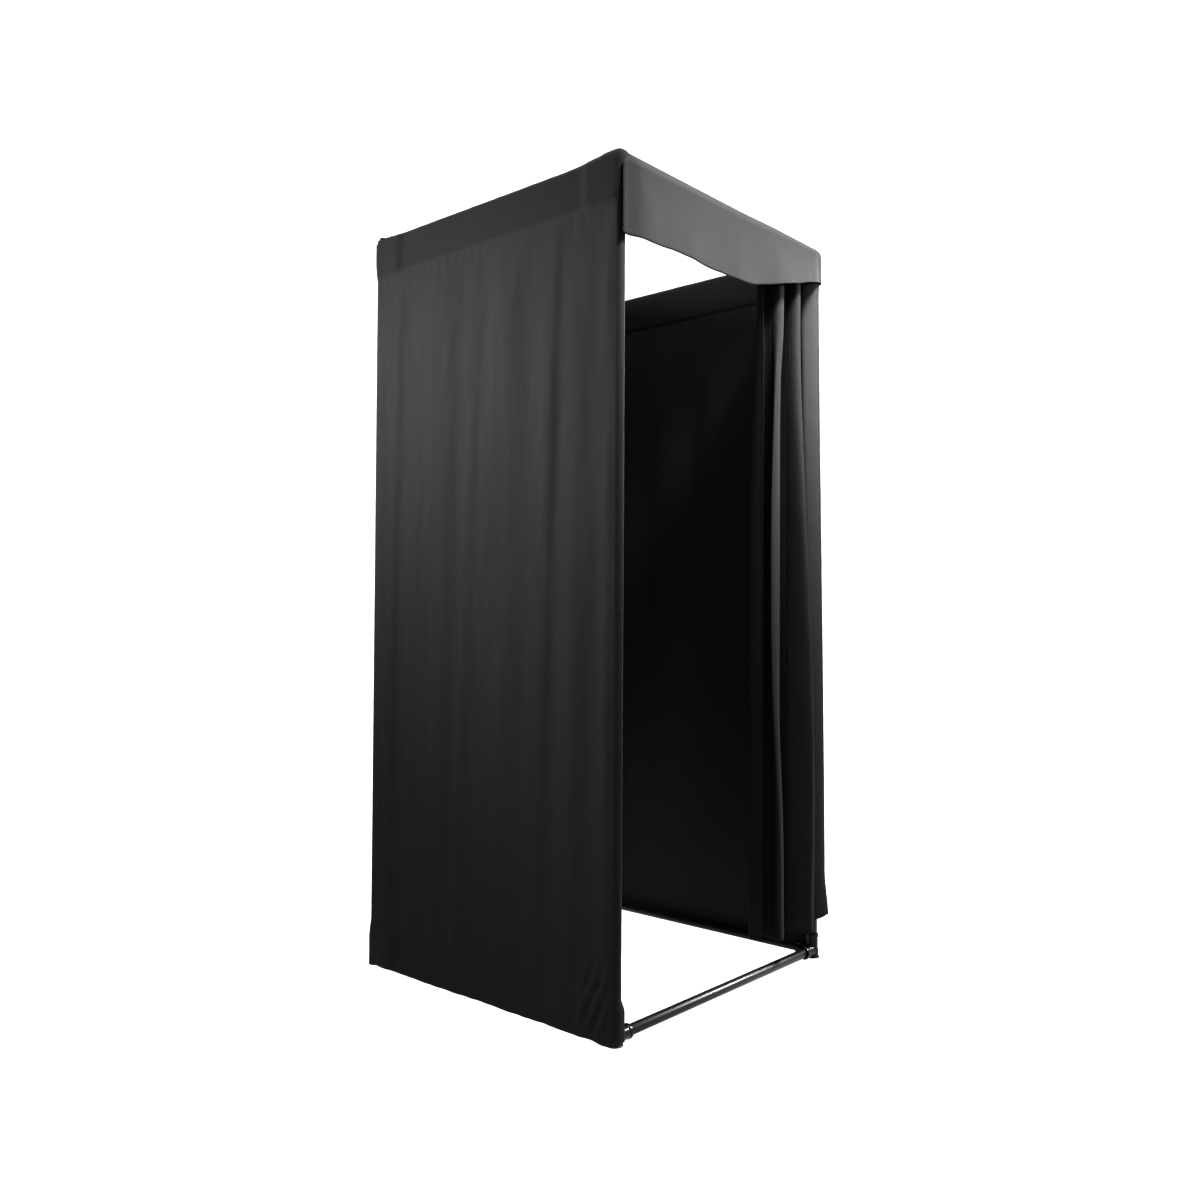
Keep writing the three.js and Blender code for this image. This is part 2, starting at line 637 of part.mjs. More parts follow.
// One fold of the curtain between two rings. It leaves each clip straight, then rounds its crest.
function addPleat(number) {
  const side = number % 2 ? -1 : 1;
  const straight = clipJawDepth / 2;
  const hasHem = number === ringCount - 1;
  const lastColumn = pleatSteps + 2 + (hasHem ? 1 : 0);
  const pointAt = (column, row) => {
    const z = headerZ + (curtainHem - headerZ) * pleatRowShares[row];
    if (column === 0) return new THREE.Vector3(ringPitch / 2, (side * fitGap) / 2, z);
    if (column === pleatSteps + 3) {
      const lean = ringPitch * crestLeanShares[number - 2][row];
      return new THREE.Vector3(-ringPitch / 2 + lean, -side * leadingHemShare * foldAt(z), z);
    }
    if (column === pleatSteps + 2) {
      const end = hasHem ? -straight : fitGap / 2;
      return new THREE.Vector3(-ringPitch / 2, side * end, z);
    }
    const angle = (Math.PI * (column - 1)) / pleatSteps;
    const cosine = Math.cos(angle);
    const half = (ringPitch / 2) * Math.sign(cosine) * Math.abs(cosine) ** crestRoundShare;
    const lean = ringPitch * crestLeanShares[number - 1][row];
    const out = straight + (foldAt(z) - straight) * Math.sin(angle);
    return new THREE.Vector3(half + lean * Math.sin(angle), side * out, z);
  };
  const solid = thickSheet(lastColumn, pleatRowShares.length - 1, pointAt, clothThickness);
  const x = firstRingX - (number - 1 / 2) * ringPitch;
  addPiece(`curtain_pleat_${number}`, solid, materials.wallCloth).position.set(x, -halfY, 0);
}

// The cloth from the first ring to the post, which stays put
function addFixedEdge() {
  const pointAt = (column, row) => {
    const z = headerZ + (curtainHem - headerZ) * pleatRowShares[row];
    if (column === 0) return new THREE.Vector3(0, fitGap / 2, z);
    const angle = (Math.PI / 2) * ((column - 1) / (fixedEdgeSteps - 1));
    const out = clipJawDepth + (headerFold - clipJawDepth) * Math.sin(angle);
    return new THREE.Vector3(fixedEdge * (1 - Math.cos(angle)), out, z);
  };
  const solid = thickSheet(fixedEdgeSteps, pleatRowShares.length - 1, pointAt, clothThickness);
  addPiece("curtain_fixed_edge", solid, materials.wallCloth).position.set(firstRingX, -halfY, 0);
}

function addRingAndClip(number) {
  const x = firstRingX - (number - 1) * ringPitch;
  const torus = new THREE.TorusGeometry(ringRadius, ringWire, ringWireSides, ringSegments);
  torus.rotateY(Math.PI / 2);
  const ring = addPiece(`curtain_ring_${number}`, solidOf(torus), materials.steel);
  ring.position.set(x, -halfY, ringCentreZ);

  const jawInside = clothThickness / 2 + fitGap;
  const jawOutside = jawInside + clipJawThickness;
  const top = -clipDrop;
  const inside = top - clipBridge;
  const foot = inside - clipJawLength;
  const outline = new THREE.Shape([
    new THREE.Vector2(-jawOutside, foot),
    new THREE.Vector2(-jawInside, foot),
    new THREE.Vector2(-jawInside, inside),
    new THREE.Vector2(jawInside, inside),
    new THREE.Vector2(jawInside, foot),
    new THREE.Vector2(jawOutside, foot),
    new THREE.Vector2(jawOutside, top),
    new THREE.Vector2(-jawOutside, top),
  ]);
  const basis = [right, up, rearward.clone().negate()];
  const jaws = prism(outline, clipJawDepth, basis, new THREE.Vector3(0, clipJawDepth / 2, 0));
  const half = clipEyeThickness / 2;
  const neckShape = new THREE.Shape([
    new THREE.Vector2(-jawInside, inside + clipBridge / 2),
    new THREE.Vector2(jawInside, inside + clipBridge / 2),
    new THREE.Vector2(jawInside, -clipEyeHole),
    new THREE.Vector2(-jawInside, -clipEyeHole),
  ]);
  const neck = prism(neckShape, clipEyeThickness, basis, new THREE.Vector3(0, half, 0));
  const eye = rod(clipEyeRadius, -half, half, rearward, clipSides);
  const hole = rod(clipEyeHole, -clipEyeThickness, clipEyeThickness, rearward, clipSides);
  const clip = addPiece(
    `curtain_clip_${number}`,
    jaws.add(neck).add(eye).subtract(hole),
    materials.steel,
  );
  clip.position.set(x, -halfY, clipEyeZ);
}

for (const corner of corners) {
  addBottomCorner(corner);
  addTopCorner(corner);
  addFoot(corner);
  addPost(corner);
  addButton(corner);
}
addRails("bottom", railLowZ);
addRails("top", railTopZ);
addWalls();
addValance();
for (let number = 1; number <= ringCount; number++) addRingAndClip(number);
for (let number = 1; number < ringCount; number++) addPleat(number);
addFixedEdge();

export default fittingRoom;
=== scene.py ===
# Portable fitting room: black tube frame, three cloth walls, a valance and a drawn curtain.
# Metres, +Z up, doorway towards -Y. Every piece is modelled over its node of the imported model.
import math

import bpy
from mathutils import Matrix, Vector, noise


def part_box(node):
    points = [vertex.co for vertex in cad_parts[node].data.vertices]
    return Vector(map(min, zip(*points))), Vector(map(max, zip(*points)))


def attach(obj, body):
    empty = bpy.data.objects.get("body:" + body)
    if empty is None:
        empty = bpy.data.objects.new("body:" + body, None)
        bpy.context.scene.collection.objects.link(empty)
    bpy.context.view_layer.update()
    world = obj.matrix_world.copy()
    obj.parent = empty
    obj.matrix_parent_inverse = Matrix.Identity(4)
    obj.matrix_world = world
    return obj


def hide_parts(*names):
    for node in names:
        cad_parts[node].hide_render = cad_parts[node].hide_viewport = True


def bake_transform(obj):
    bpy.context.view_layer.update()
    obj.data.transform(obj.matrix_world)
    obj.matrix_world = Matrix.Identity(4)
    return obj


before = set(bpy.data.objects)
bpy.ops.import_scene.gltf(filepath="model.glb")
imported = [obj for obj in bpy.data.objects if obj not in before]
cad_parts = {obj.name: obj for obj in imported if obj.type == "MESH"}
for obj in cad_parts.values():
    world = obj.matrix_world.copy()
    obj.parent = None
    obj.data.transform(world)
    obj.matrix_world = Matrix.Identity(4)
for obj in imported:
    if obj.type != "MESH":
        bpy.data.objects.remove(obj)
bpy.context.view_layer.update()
scene = bpy.context.scene
corners = {
    "front_left": (-1, -1),
    "front_right": (1, -1),
    "back_left": (-1, 1),
    "back_right": (1, 1),
}


def middleOf(node):
    low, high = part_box(node)
    return (Vector(low) + Vector(high)) / 2


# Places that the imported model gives
half = middleOf("foot_front_right").x
railLow = middleOf("bottom_rail_front").z
railTop = middleOf("top_rail_front").z
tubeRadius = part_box("top_rail_left")[1][2] - railTop
print("frame loaded, half span", round(half, 4), "rails at", round(railLow, 4), round(railTop, 4))


# Camera, fitted to the photograph's corners
view = {
    "place": (-2.2513, -1.9742, 0.931),
    "yaw": 48.8,  # degrees from +Y towards +X
    "pitch": 1.272,
    "roll": 0.334,
    "lens": 32.178,
    "sensor": 36,
}
cameraData = bpy.data.cameras.new("camera")
cameraData.lens = view["lens"]
cameraData.sensor_width = view["sensor"]
cameraData.clip_end = 100
camera = bpy.data.objects.new("camera", cameraData)
scene.collection.objects.link(camera)
aim = Matrix.Rotation(math.radians(-view["yaw"]), 4, "Z")
aim = aim @ Matrix.Rotation(math.radians(90 + view["pitch"]), 4, "X")
aim = aim @ Matrix.Rotation(math.radians(view["roll"]), 4, "Z")
camera.matrix_world = Matrix.Translation(view["place"]) @ aim
scene.camera = camera
print("camera set")


# Shader maths

class Field:
    # One value in a material's nodes. Plain expressions on it add Math nodes.
    def __init__(self, tree, socket=None):
        self.tree = tree
        self.socket = socket

    def node(self, kind, sockets=None, output=0, **settings):
        made = self.tree.nodes.new(kind)
        for name, value in settings.items():
            setattr(made, name, value)
        for name, value in (sockets or {}).items():
            if isinstance(value, Field):
                self.tree.links.new(value.socket, made.inputs[name])
            else:
                made.inputs[name].default_value = value
        return Field(self.tree, made.outputs[output])

    def maths(self, operation, *values):
        return self.node("ShaderNodeMath", dict(enumerate(values)), operation=operation)

    def __add__(self, other):
        return self.maths("ADD", self, other)

    __radd__ = __add__

    def __sub__(self, other):
        return self.maths("SUBTRACT", self, other)

    def __rsub__(self, other):
        return self.maths("SUBTRACT", other, self)

    def __mul__(self, other):
        return self.maths("MULTIPLY", self, other)

    __rmul__ = __mul__

    def sine(self):
        return self.maths("SINE", self)

    def size(self):
        return self.maths("ABSOLUTE", self)

    def step(self, low, high):
        return self.node(
            "ShaderNodeMapRange",
            {"Value": self, "From Min": low, "From Max": high, "To Min": 0.0, "To Max": 1.0},
            interpolation_type="SMOOTHSTEP",
        )


def newMaterial(name):
    material = bpy.data.materials.new(name)
    material.use_nodes = True
    tree = material.node_tree
    shader = tree.nodes["Principled BSDF"]
    return material, Field(tree), shader


def feed(shader, name, value):
    if isinstance(value, Field):
        value.tree.links.new(value.socket, shader.inputs[name])
    else:
        shader.inputs[name].default_value = value


def grey(value, warmth=0.0):
    return (value * (1 + warmth), value, value * (1 - warmth), 1)


def blended(field, dark, light, amount):
    # Mixes two colours by a value that changes over the surface
    return field.node("ShaderNodeMix", {0: amount, 6: dark, 7: light}, output=2, data_type="RGBA")


def bumped(field, shader, height, distance):
    feed(shader, "Normal", field.node("ShaderNodeBump", {"Height": height, "Distance": distance}))


def cloudy(field, place, scale, detail, rough=0.5):
    sockets = {"Vector": place, "Scale": scale, "Detail": detail, "Roughness": rough}
    return field.node("ShaderNodeTexNoise", sockets)


clothLook = {
    "thread": 0.0011,  # between neighbouring threads
    "threadDepth": 0.00022,
    "slubLength": 0.03,
    "creaseSize": 0.11,
    "creaseStretch": 0.6,
    "patches": (3.1, 1.7),  # in each metre, across and up
    "stitch": 0.0042,  # one stitch with its gap
    "stitchHalf": 0.0006,
    "seamBlur": 0.003,
    "tones": (0.72, 1.22),  # shares of the cloth's own tone
    # Shares for the inner face, which is painted lighter as painted light for the dim inside
    "paintedInsideTones": (0.75, 1.2),
    "threadTone": 2.0,
    "heights": (0.25, 0.9, 1.6, 6.0),  # of weave, slubs, stitches and creases, in threadDepth
    "rough": 0.78,
    "slubRough": 0.16,
    "specular": 0.08,
    "sheenRough": 0.45,
}


def clothMaterial(name, tone, paintedInsideLight, seams, sheen):
    # A seam is (axis, place, side that is doubled, its tone) on the sheet's own UV map, in metres. The
    # doubled side is painted in that tone: partly the doubled cloth's own tone, partly painted shade.
    material, field, shader = newMaterial(name)
    look = clothLook
    uv = field.node("ShaderNodeUVMap", uv_map="cloth")
    u = field.node("ShaderNodeSeparateXYZ", {"Vector": uv}, output=0)
    v = field.node("ShaderNodeSeparateXYZ", {"Vector": uv}, output=1)
    turn = math.pi / look["thread"]
    weave = (u * turn).sine() * (v * turn).sine()

    def noiseAt(scaleU, scaleV, detail=2.0, rough=0.5):
        place = field.node("ShaderNodeCombineXYZ", {"X": u * scaleU, "Y": v * scaleV})
        return cloudy(field, place, 1.0, detail, rough)

    def mottled(shares, base):
        dark, light = (grey(base * share) for share in shares)
        return blended(field, dark, light, mottle)

    warpSlub = noiseAt(1 / look["thread"], 1 / look["slubLength"])
    weftSlub = noiseAt(1 / look["slubLength"], 1 / look["thread"])
    slub = (warpSlub + weftSlub) * 0.5
    crease = noiseAt(1 / look["creaseSize"], look["creaseStretch"] / look["creaseSize"], 4.0, 0.55)
    # The inner face, marked where it faces the room, is painted lighter: painted light for the dim inside
    # of the cabin
    inside = field.node("ShaderNodeAttribute", output=2, attribute_name="paintedInsideLight")
    mottle = noiseAt(*look["patches"], 3.0) * 0.6 + slub * 0.4
    paintedInsideColour = mottled(look["paintedInsideTones"], tone * paintedInsideLight)
    colour = blended(field, mottled(look["tones"], tone), paintedInsideColour, inside)
    thread = None
    for axis, place, far, doubledShadeTone in seams:
        along, across = (v, u) if axis == "u" else (u, v)
        offset = across.size() if axis == "u" else across
        line = 1 - (offset - place).size().step(0.0, look["stitchHalf"])
        dash = (along * (2 * math.pi / look["stitch"])).sine().step(-0.45, 0.1)
        stitched = line * dash
        thread = stitched if thread is None else thread.maths("MAXIMUM", thread, stitched)
        # The doubled side of a seam is painted darker: partly the doubled cloth, partly painted shade
        doubledShadeSide = (offset - place).step(-look["seamBlur"], look["seamBlur"])
        doubledShadeSide = doubledShadeSide if far else 1 - doubledShadeSide
        colour = blended(field, colour, grey(tone * doubledShadeTone), doubledShadeSide * 0.8 * (1 - inside))
    colour = blended(field, colour, grey(tone * look["threadTone"]), thread * 0.6)
    feed(shader, "Base Color", colour)
    feed(shader, "Roughness", look["rough"] + slub * look["slubRough"])
    feed(shader, "Specular IOR Level", look["specular"])
    feed(shader, "Sheen Weight", sheen)
    feed(shader, "Sheen Roughness", look["sheenRough"])
    weaveHigh, slubHigh, threadHigh, creaseHigh = look["heights"]
    height = weave * weaveHigh + slub * slubHigh + thread * threadHigh + crease * creaseHigh
    bumped(field, shader, height, look["threadDepth"])
    return material


# A noise is its scale, detail and roughness. The three tones are dark, light and rubbed.
tubeLook = {
    "cloud": (14.0, 5.0, 0.6),
    "grain": (900.0, 1.0),
    "rub": (240.0, 3.0),
    "rubFrom": (0.66, 0.74),
    "rubShare": 0.5,
    "tones": (0.005, 0.01, 0.03),
    "rough": (0.32, 0.1, 0.12),  # all over, and more with the cloud and the rubbing
    "specular": 0.2,
    "relief": (1.0, 0.0, 0.00006),  # shares of the grain and the cloud, and the depth
}
plasticLook = {
    "cloud": (60.0, 4.0, 0.55),
    "grain": (1500.0, 1.0),
    "rub": (310.0, 2.0),
    "rubFrom": (0.64, 0.75),
    "rubShare": 0.4,
    "tones": (0.004, 0.008, 0.03),
    "rough": (0.2, 0.12, 0.2),
    "specular": 0.18,
    "relief": (0.4, 1.0, 0.00008),
}


def glossyMaterial(name, look):
    material, field, shader = newMaterial(name)
    place = field.node("ShaderNodeTexCoord", output=3)
    cloud = cloudy(field, place, *look["cloud"])
    grain = cloudy(field, place, *look["grain"])
    rub = cloudy(field, place, *look["rub"]).step(*look["rubFrom"])
    dark, light, rubbed = (grey(tone) for tone in look["tones"])
    colour = blended(field, dark, light, cloud)
    feed(shader, "Base Color", blended(field, colour, rubbed, rub * look["rubShare"]))
    rough, cloudRough, rubRough = look["rough"]
    feed(shader, "Roughness", rough + cloud * cloudRough + rub * rubRough)
    feed(shader, "Specular IOR Level", look["specular"])
    grainShare, cloudShare, depth = look["relief"]
    bumped(field, shader, grain * grainShare + cloud * cloudShare, depth)
    return material


rubberLook = {
    "dust": (130.0, 5.0, 0.65),
    "grain": (2200.0, 1.0),
    "dustFrom": (0.45, 0.75),
    "tones": (0.009, 0.035),
    "rough": (0.7, 0.2),  # all over, and more with the dust
    "relief": 0.00012,
}


def rubberMaterial(look):
    material, field, shader = newMaterial("footRubber")
    place = field.node("ShaderNodeTexCoord", output=3)
    dust = cloudy(field, place, *look["dust"])
    grain = cloudy(field, place, *look["grain"])
    dark, light = (grey(tone) for tone in look["tones"])
    feed(shader, "Base Color", blended(field, dark, light, dust.step(*look["dustFrom"])))
    rough, dustRough = look["rough"]
    feed(shader, "Roughness", rough + dust * dustRough)
    bumped(field, shader, grain + dust, look["relief"])
    return material


metalLook = {
    "brush": 900.0,  # lines in each metre across the brushing
    "brushDetail": 3.0,
    "tarnish": (45.0, 4.0),
    "tarnished": (0.8, 0.01),  # share of the tone, and its warmth
    "rough": (0.12, 0.06),  # more with the brushing and the tarnish
    "relief": 0.00003,
}


def metalMaterial(name, tone, rough, streak):
    material, field, shader = newMaterial(name)
    look = metalLook
    place = field.node("ShaderNodeTexCoord", output=3)
    scale = (look["brush"], look["brush"], streak)
    stretched = field.node("ShaderNodeMapping", {"Vector": place, "Scale": scale})
    brush = cloudy(field, stretched, 1.0, look["brushDetail"])
    tarnish = cloudy(field, place, *look["tarnish"])
    share, warmth = look["tarnished"]
    feed(shader, "Base Color", blended(field, grey(tone * share, warmth), grey(tone), tarnish))
    feed(shader, "Metallic", 1.0)
    brushRough, tarnishRough = look["rough"]
    feed(shader, "Roughness", rough + brush * brushRough + tarnish * tarnishRough)
    bumped(field, shader, brush, look["relief"])
    return material


pocketSeam = 0.09  # below the rail, where the walls' top pocket is stitched
sleeveSeam = 0.04  # past the post, where a sleeve is stitched
hemStitch = 0.012
# Each seam's last value is the tone of its doubled side: partly the doubled cloth, partly painted shade
sleeveLine = ("u", half - sleeveSeam, True, 0.95)
pocketLine = ("v", railTop - pocketSeam, True, 0.6)
hemLine = ("v", hemStitch, False, 0.9)
materials = {
    "tube": glossyMaterial("tubePaint", tubeLook),
    "plastic": glossyMaterial("fittingPlastic", plasticLook),
    "rubber": rubberMaterial(rubberLook),
    "steel": metalMaterial("bareSteel", 0.55, 0.22, 60.0),
    "chrome": metalMaterial("ringChrome", 0.72, 0.08, 300.0),
    # The fourth value paints the walls' inner face lighter: painted light for the dim inside
    "sideWall": clothMaterial("sideWallCloth", 0.0115, 1.9, [sleeveLine, pocketLine, hemLine], 0.03),
    "backWall": clothMaterial("backWallCloth", 0.0115, 1.9, [pocketLine, hemLine], 0.03),
    "valance": clothMaterial("valanceCloth", 0.0085, 1.0, [hemLine], 0.05),
    "curtain": clothMaterial("curtainCloth", 0.0115, 1.0, [("v", hemStitch, False, 0.8)], 0.012),
}
print("materials made:", len(materials))


# Modelling helpers

def deselectAll():
    bpy.ops.object.select_all(action="DESELECT")


def setMode(mode):
    bpy.ops.object.mode_set(mode=mode)


def activate(obj):
    deselectAll()
    obj.select_set(True)
    bpy.context.view_layer.objects.active = obj


def applyModifier(obj, kind, **settings):
    activate(obj)
    modifier = obj.modifiers.new(kind.lower(), kind)
    for name, value in settings.items():
        setattr(modifier, name, value)
    bpy.ops.object.modifier_apply(modifier=modifier.name)


def placed(obj, matrix):
    # Puts an object's place into its mesh and leaves it at the origin
    obj.matrix_basis = matrix @ obj.matrix_basis
    activate(obj)
    bpy.ops.object.transform_apply(location=True, rotation=True, scale=True)


def selectWhole():
    setMode("EDIT")
    bpy.ops.mesh.select_all(action="SELECT")


def selectIn(kind, items, chosen):
    # Leaves the active object in edit mode, with the chosen faces, edges or vertices selected
    setMode("EDIT")
    bpy.ops.mesh.select_mode(type=kind)
    bpy.ops.mesh.select_all(action="DESELECT")
    setMode("OBJECT")
    for item in items:
        item.select = chosen(item)
    setMode("EDIT")


def outward(obj):
    activate(obj)
    selectWhole()
    bpy.ops.mesh.remove_doubles(threshold=0.000005)
    bpy.ops.mesh.normals_make_consistent(inside=False)
    setMode("OBJECT")


def smoothed(obj, angle=35):
    activate(obj)
    bpy.ops.object.shade_smooth_by_angle(angle=math.radians(angle))


def copyOf(obj, matrix):
    made = obj.copy()
    made.data = obj.data.copy()
    scene.collection.objects.link(made)
    placed(made, matrix)
    if matrix.determinant() < 0:
        outward(made)
    return made


def dressed(obj, name, material, slotName, body, *nodes):
    obj.name = name
    obj.data.name = name
    obj.data.materials.clear()
    obj.data.materials.append(materials[material])
    if body:
        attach(obj, body)
    if nodes:
        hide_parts(*nodes)
    return obj


def turnedPiece(profile, sides=48):
    # Draws a round piece out ring by ring, from (radius, height) pairs
    deselectAll()
    radius, height = profile[0]
    bpy.ops.mesh.primitive_circle_add(
        vertices=sides, radius=radius, fill_type="NGON", location=(0, 0, height)
    )
    obj = bpy.context.object
    placed(obj, Matrix.Identity(4))
    selectWhole()
    for (radius, height), (nextRadius, nextHeight) in zip(profile, profile[1:]):
        bpy.ops.mesh.extrude_region_move(
            TRANSFORM_OT_translate={"value": (0, 0, nextHeight - height)}
        )
        share = nextRadius / radius
        bpy.ops.transform.resize(value=(share, share, 1), center_override=(0, 0, nextHeight))
    setMode("OBJECT")
    outward(obj)
    return obj


def joined(objects):
    deselectAll()
    for obj in objects:
        obj.select_set(True)
    bpy.context.view_layer.objects.active = objects[0]
    bpy.ops.object.join()
    return bpy.context.object


turnTo = {
    "x": Matrix.Rotation(math.pi / 2, 4, "Y"),
    "y": Matrix.Rotation(-math.pi / 2, 4, "X"),
    "z": Matrix.Identity(4),
    "down": Matrix.Rotation(math.pi, 4, "X"),
}


def atCorner(corner, z):
    sideX, sideY = corners[corner]
    return Matrix.Translation((sideX * half, sideY * half, z))


# Tubes

tube = {"sides": 48, "wall": 0.0012, "edge": 0.0003}


def tubePiece(length):
    deselectAll()
    bpy.ops.mesh.primitive_cylinder_add(
        vertices=tube["sides"], radius=tubeRadius, depth=length, end_fill_type="NGON"
    )
    obj = bpy.context.object
    selectIn("FACE", obj.data.polygons, lambda face: abs(face.normal.z) > 0.9)
    bpy.ops.mesh.inset(thickness=tube["wall"])
    bpy.ops.mesh.bridge_edge_loops()
    setMode("OBJECT")
    applyModifier(obj, "BEVEL", width=tube["edge"], segments=2, limit_method="ANGLE")
    outward(obj)
    smoothed(obj)
    return obj


def tubeOver(node):
    # A smooth tube in the place of a node's faceted one
    low, high = (Vector(corner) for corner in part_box(node))
    reach = high - low
    axis = max("xyz", key=lambda name: getattr(reach, name))
    obj = tubePiece(getattr(reach, axis))
    placed(obj, Matrix.Translation((low + high) / 2) @ turnTo[axis])
    dressed(obj, node + "_tube", "tube", "tube_paint", "frame", node)
    return obj


# Spring buttons: a domed pin with a flange, on a bent leaf inside the ferrule
snap = {
    "radius": 0.004,
    "gap": 0.0003,
    "sides": 32,
    "flange": 0.006,
    "flangeThickness": 0.0014,
    "flangeEdge": 0.0003,
    "dome": 0.0012,
    "leaf": 0.0008,
    "leafWidth": 0.007,
    "leafEdge": 0.0002,
    "bends": [(-0.0012, -0.014), (-0.0072, -0.038)],  # from the flange's back: across the tube, and up
}

for level in ("bottom", "top"):
    for side in ("front", "back", "left", "right"):
        tubeOver(f"{level}_rail_{side}")
for corner, (sideX, sideY) in corners.items():
    tubeOver(f"post_lower_{corner}")
    post = tubeOver(f"post_upper_{corner}")
    deselectAll()
    bpy.ops.mesh.primitive_cylinder_add(
        vertices=snap["sides"], radius=snap["radius"] + snap["gap"], depth=4 * tubeRadius
    )
    drill = bpy.context.object
    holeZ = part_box(f"snap_button_{corner}")[1][2] - snap["flange"]
    start = (sideX * half, sideY * (half - 2 * tubeRadius), holeZ)
    placed(drill, Matrix.Translation(start) @ turnTo["y"])
    applyModifier(post, "BOOLEAN", object=drill, operation="DIFFERENCE", solver="EXACT")
    bpy.data.objects.remove(drill)
    smoothed(post)
    ferrule = bpy.data.objects[f"post_ferrule_{corner}"]
    ferrule.material_slots[0].material = materials["steel"]


def snapPiece(tip, back):
    # Points towards +Y, with the post's axis at the origin
    radius, dome, edge = snap["radius"], snap["dome"], snap["flangeEdge"]
    front = back + snap["flangeThickness"]
    pin = turnedPiece([
        (snap["flange"] - edge, back),
        (snap["flange"], back + edge),
        (snap["flange"], front),
        (radius, front),
        (radius, tip - dome),
        (radius * 0.96, tip - dome * 0.5),
        (radius * 0.84, tip - dome * 0.16),
        (radius * 0.6, tip),
    ], snap["sides"])
    placed(pin, turnTo["y"])
    deselectAll()
    bpy.ops.mesh.primitive_plane_add(size=2 * radius, location=(0, back + snap["leaf"] / 2, 0))
    leaf = bpy.context.object
    leaf.rotation_euler.x = math.pi / 2
    leaf.scale.x = snap["leafWidth"] / (2 * radius)
    placed(leaf, Matrix.Identity(4))
    points = leaf.data.vertices
    selectIn("EDGE", leaf.data.edges, lambda edge: all(points[i].co.z < 0 for i in edge.vertices))
    across, height = snap["leaf"] / 2, -radius
    for nextAcross, nextHeight in snap["bends"]:
        bpy.ops.mesh.extrude_region_move(
            TRANSFORM_OT_translate={"value": (0, nextAcross - across, nextHeight - height)}
        )
        across, height = nextAcross, nextHeight
    setMode("OBJECT")
    applyModifier(leaf, "SOLIDIFY", thickness=snap["leaf"], offset=0.0)
    applyModifier(leaf, "BEVEL", width=snap["leafEdge"], segments=2, limit_method="ANGLE")
    outward(leaf)
    obj = joined([pin, leaf])
    smoothed(obj, 40)
    return obj


for corner, (sideX, sideY) in corners.items():
    node = f"snap_button_{corner}"
    low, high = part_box(node)
    tip = half - min(abs(low[1]), abs(high[1]))
    leafEnd = half - max(abs(low[1]), abs(high[1]))
    made = snapPiece(tip, leafEnd - snap["bends"][-1][0] + snap["leaf"] / 2)
    place = atCorner(corner, high[2] - snap["flange"])
    placed(made, place @ (Matrix.Rotation(math.pi, 4, "Z") if sideY > 0 else Matrix.Identity(4)))
    dressed(made, node + "_pin", "steel", "bare_steel", f"button_{corner}", node)
print("tubes and buttons made")


# Corner fittings and feet

fitting = {
    "ball": 0.0175,
    "socket": 0.016,
    "bore": 0.0128,
    "collar": 0.0175,
    "collarLength": 0.009,
    "chamfer": 0.0016,
    "reach": 0.048,  # corner centre to a socket's mouth
    "floor": 0.016,
    "base": 0.015,
    "baseEdge": 0.0008,
    "cap": 0.011,
    "capRise": 0.021,
    "capSkirt": (0.003, 0.01),  # out past the cap, and its height
    "capEdge": [(0.985, 0.0026), (0.93, 0.0012), (0.82, 0.0003), (0.6, 0)],  # radius share, depth
    "voxel": 0.0009,
}


def socketPiece():
    reach = fitting["reach"]
    shoulder = reach - fitting["collarLength"]
    chamfer = fitting["chamfer"]
    return turnedPiece([
        (fitting["socket"], 0),
        (fitting["socket"], shoulder - chamfer),
        (fitting["collar"], shoulder),
        (fitting["collar"], reach - chamfer),
        (fitting["collar"] - chamfer, reach),
        (fitting["bore"] + chamfer / 3, reach),
        (fitting["bore"], reach - chamfer / 3),
        (fitting["bore"], fitting["floor"]),
    ])


def cornerPiece(directions, low):
    deselectAll()
    bpy.ops.mesh.primitive_uv_sphere_add(segments=48, ring_count=24, radius=fitting["ball"])
    ball = bpy.context.object
    parts = [ball]
    if low:
        selectWhole()
        bpy.ops.mesh.bisect(
            plane_co=(0, 0, -fitting["base"]), plane_no=(0, 0, 1), use_fill=True, clear_inner=True
        )
        setMode("OBJECT")
        parts.append(turnedPiece([
            (fitting["ball"] - fitting["baseEdge"], -fitting["base"]),
            (fitting["ball"], -fitting["base"] + fitting["baseEdge"]),
            (fitting["ball"], 0),
        ]))
    else:
        cap, rise = fitting["cap"], fitting["capRise"]
        skirt, skirtTop = fitting["capSkirt"]
        outline = [(cap + skirt, skirtTop), (cap + skirt * 0.4, rise * 0.62), (cap, rise * 0.72)]
        outline += [(cap * share, rise - down) for share, down in fitting["capEdge"]]
        parts.append(turnedPiece(outline))
    for direction in directions:
        socket = socketPiece()
        placed(socket, turnTo[direction])
        parts.append(socket)
    obj = joined(parts)
    applyModifier(obj, "REMESH", mode="VOXEL", voxel_size=fitting["voxel"])
    applyModifier(obj, "SMOOTH", factor=0.5, iterations=5)
    activate(obj)
    bpy.ops.object.shade_smooth()
    return obj


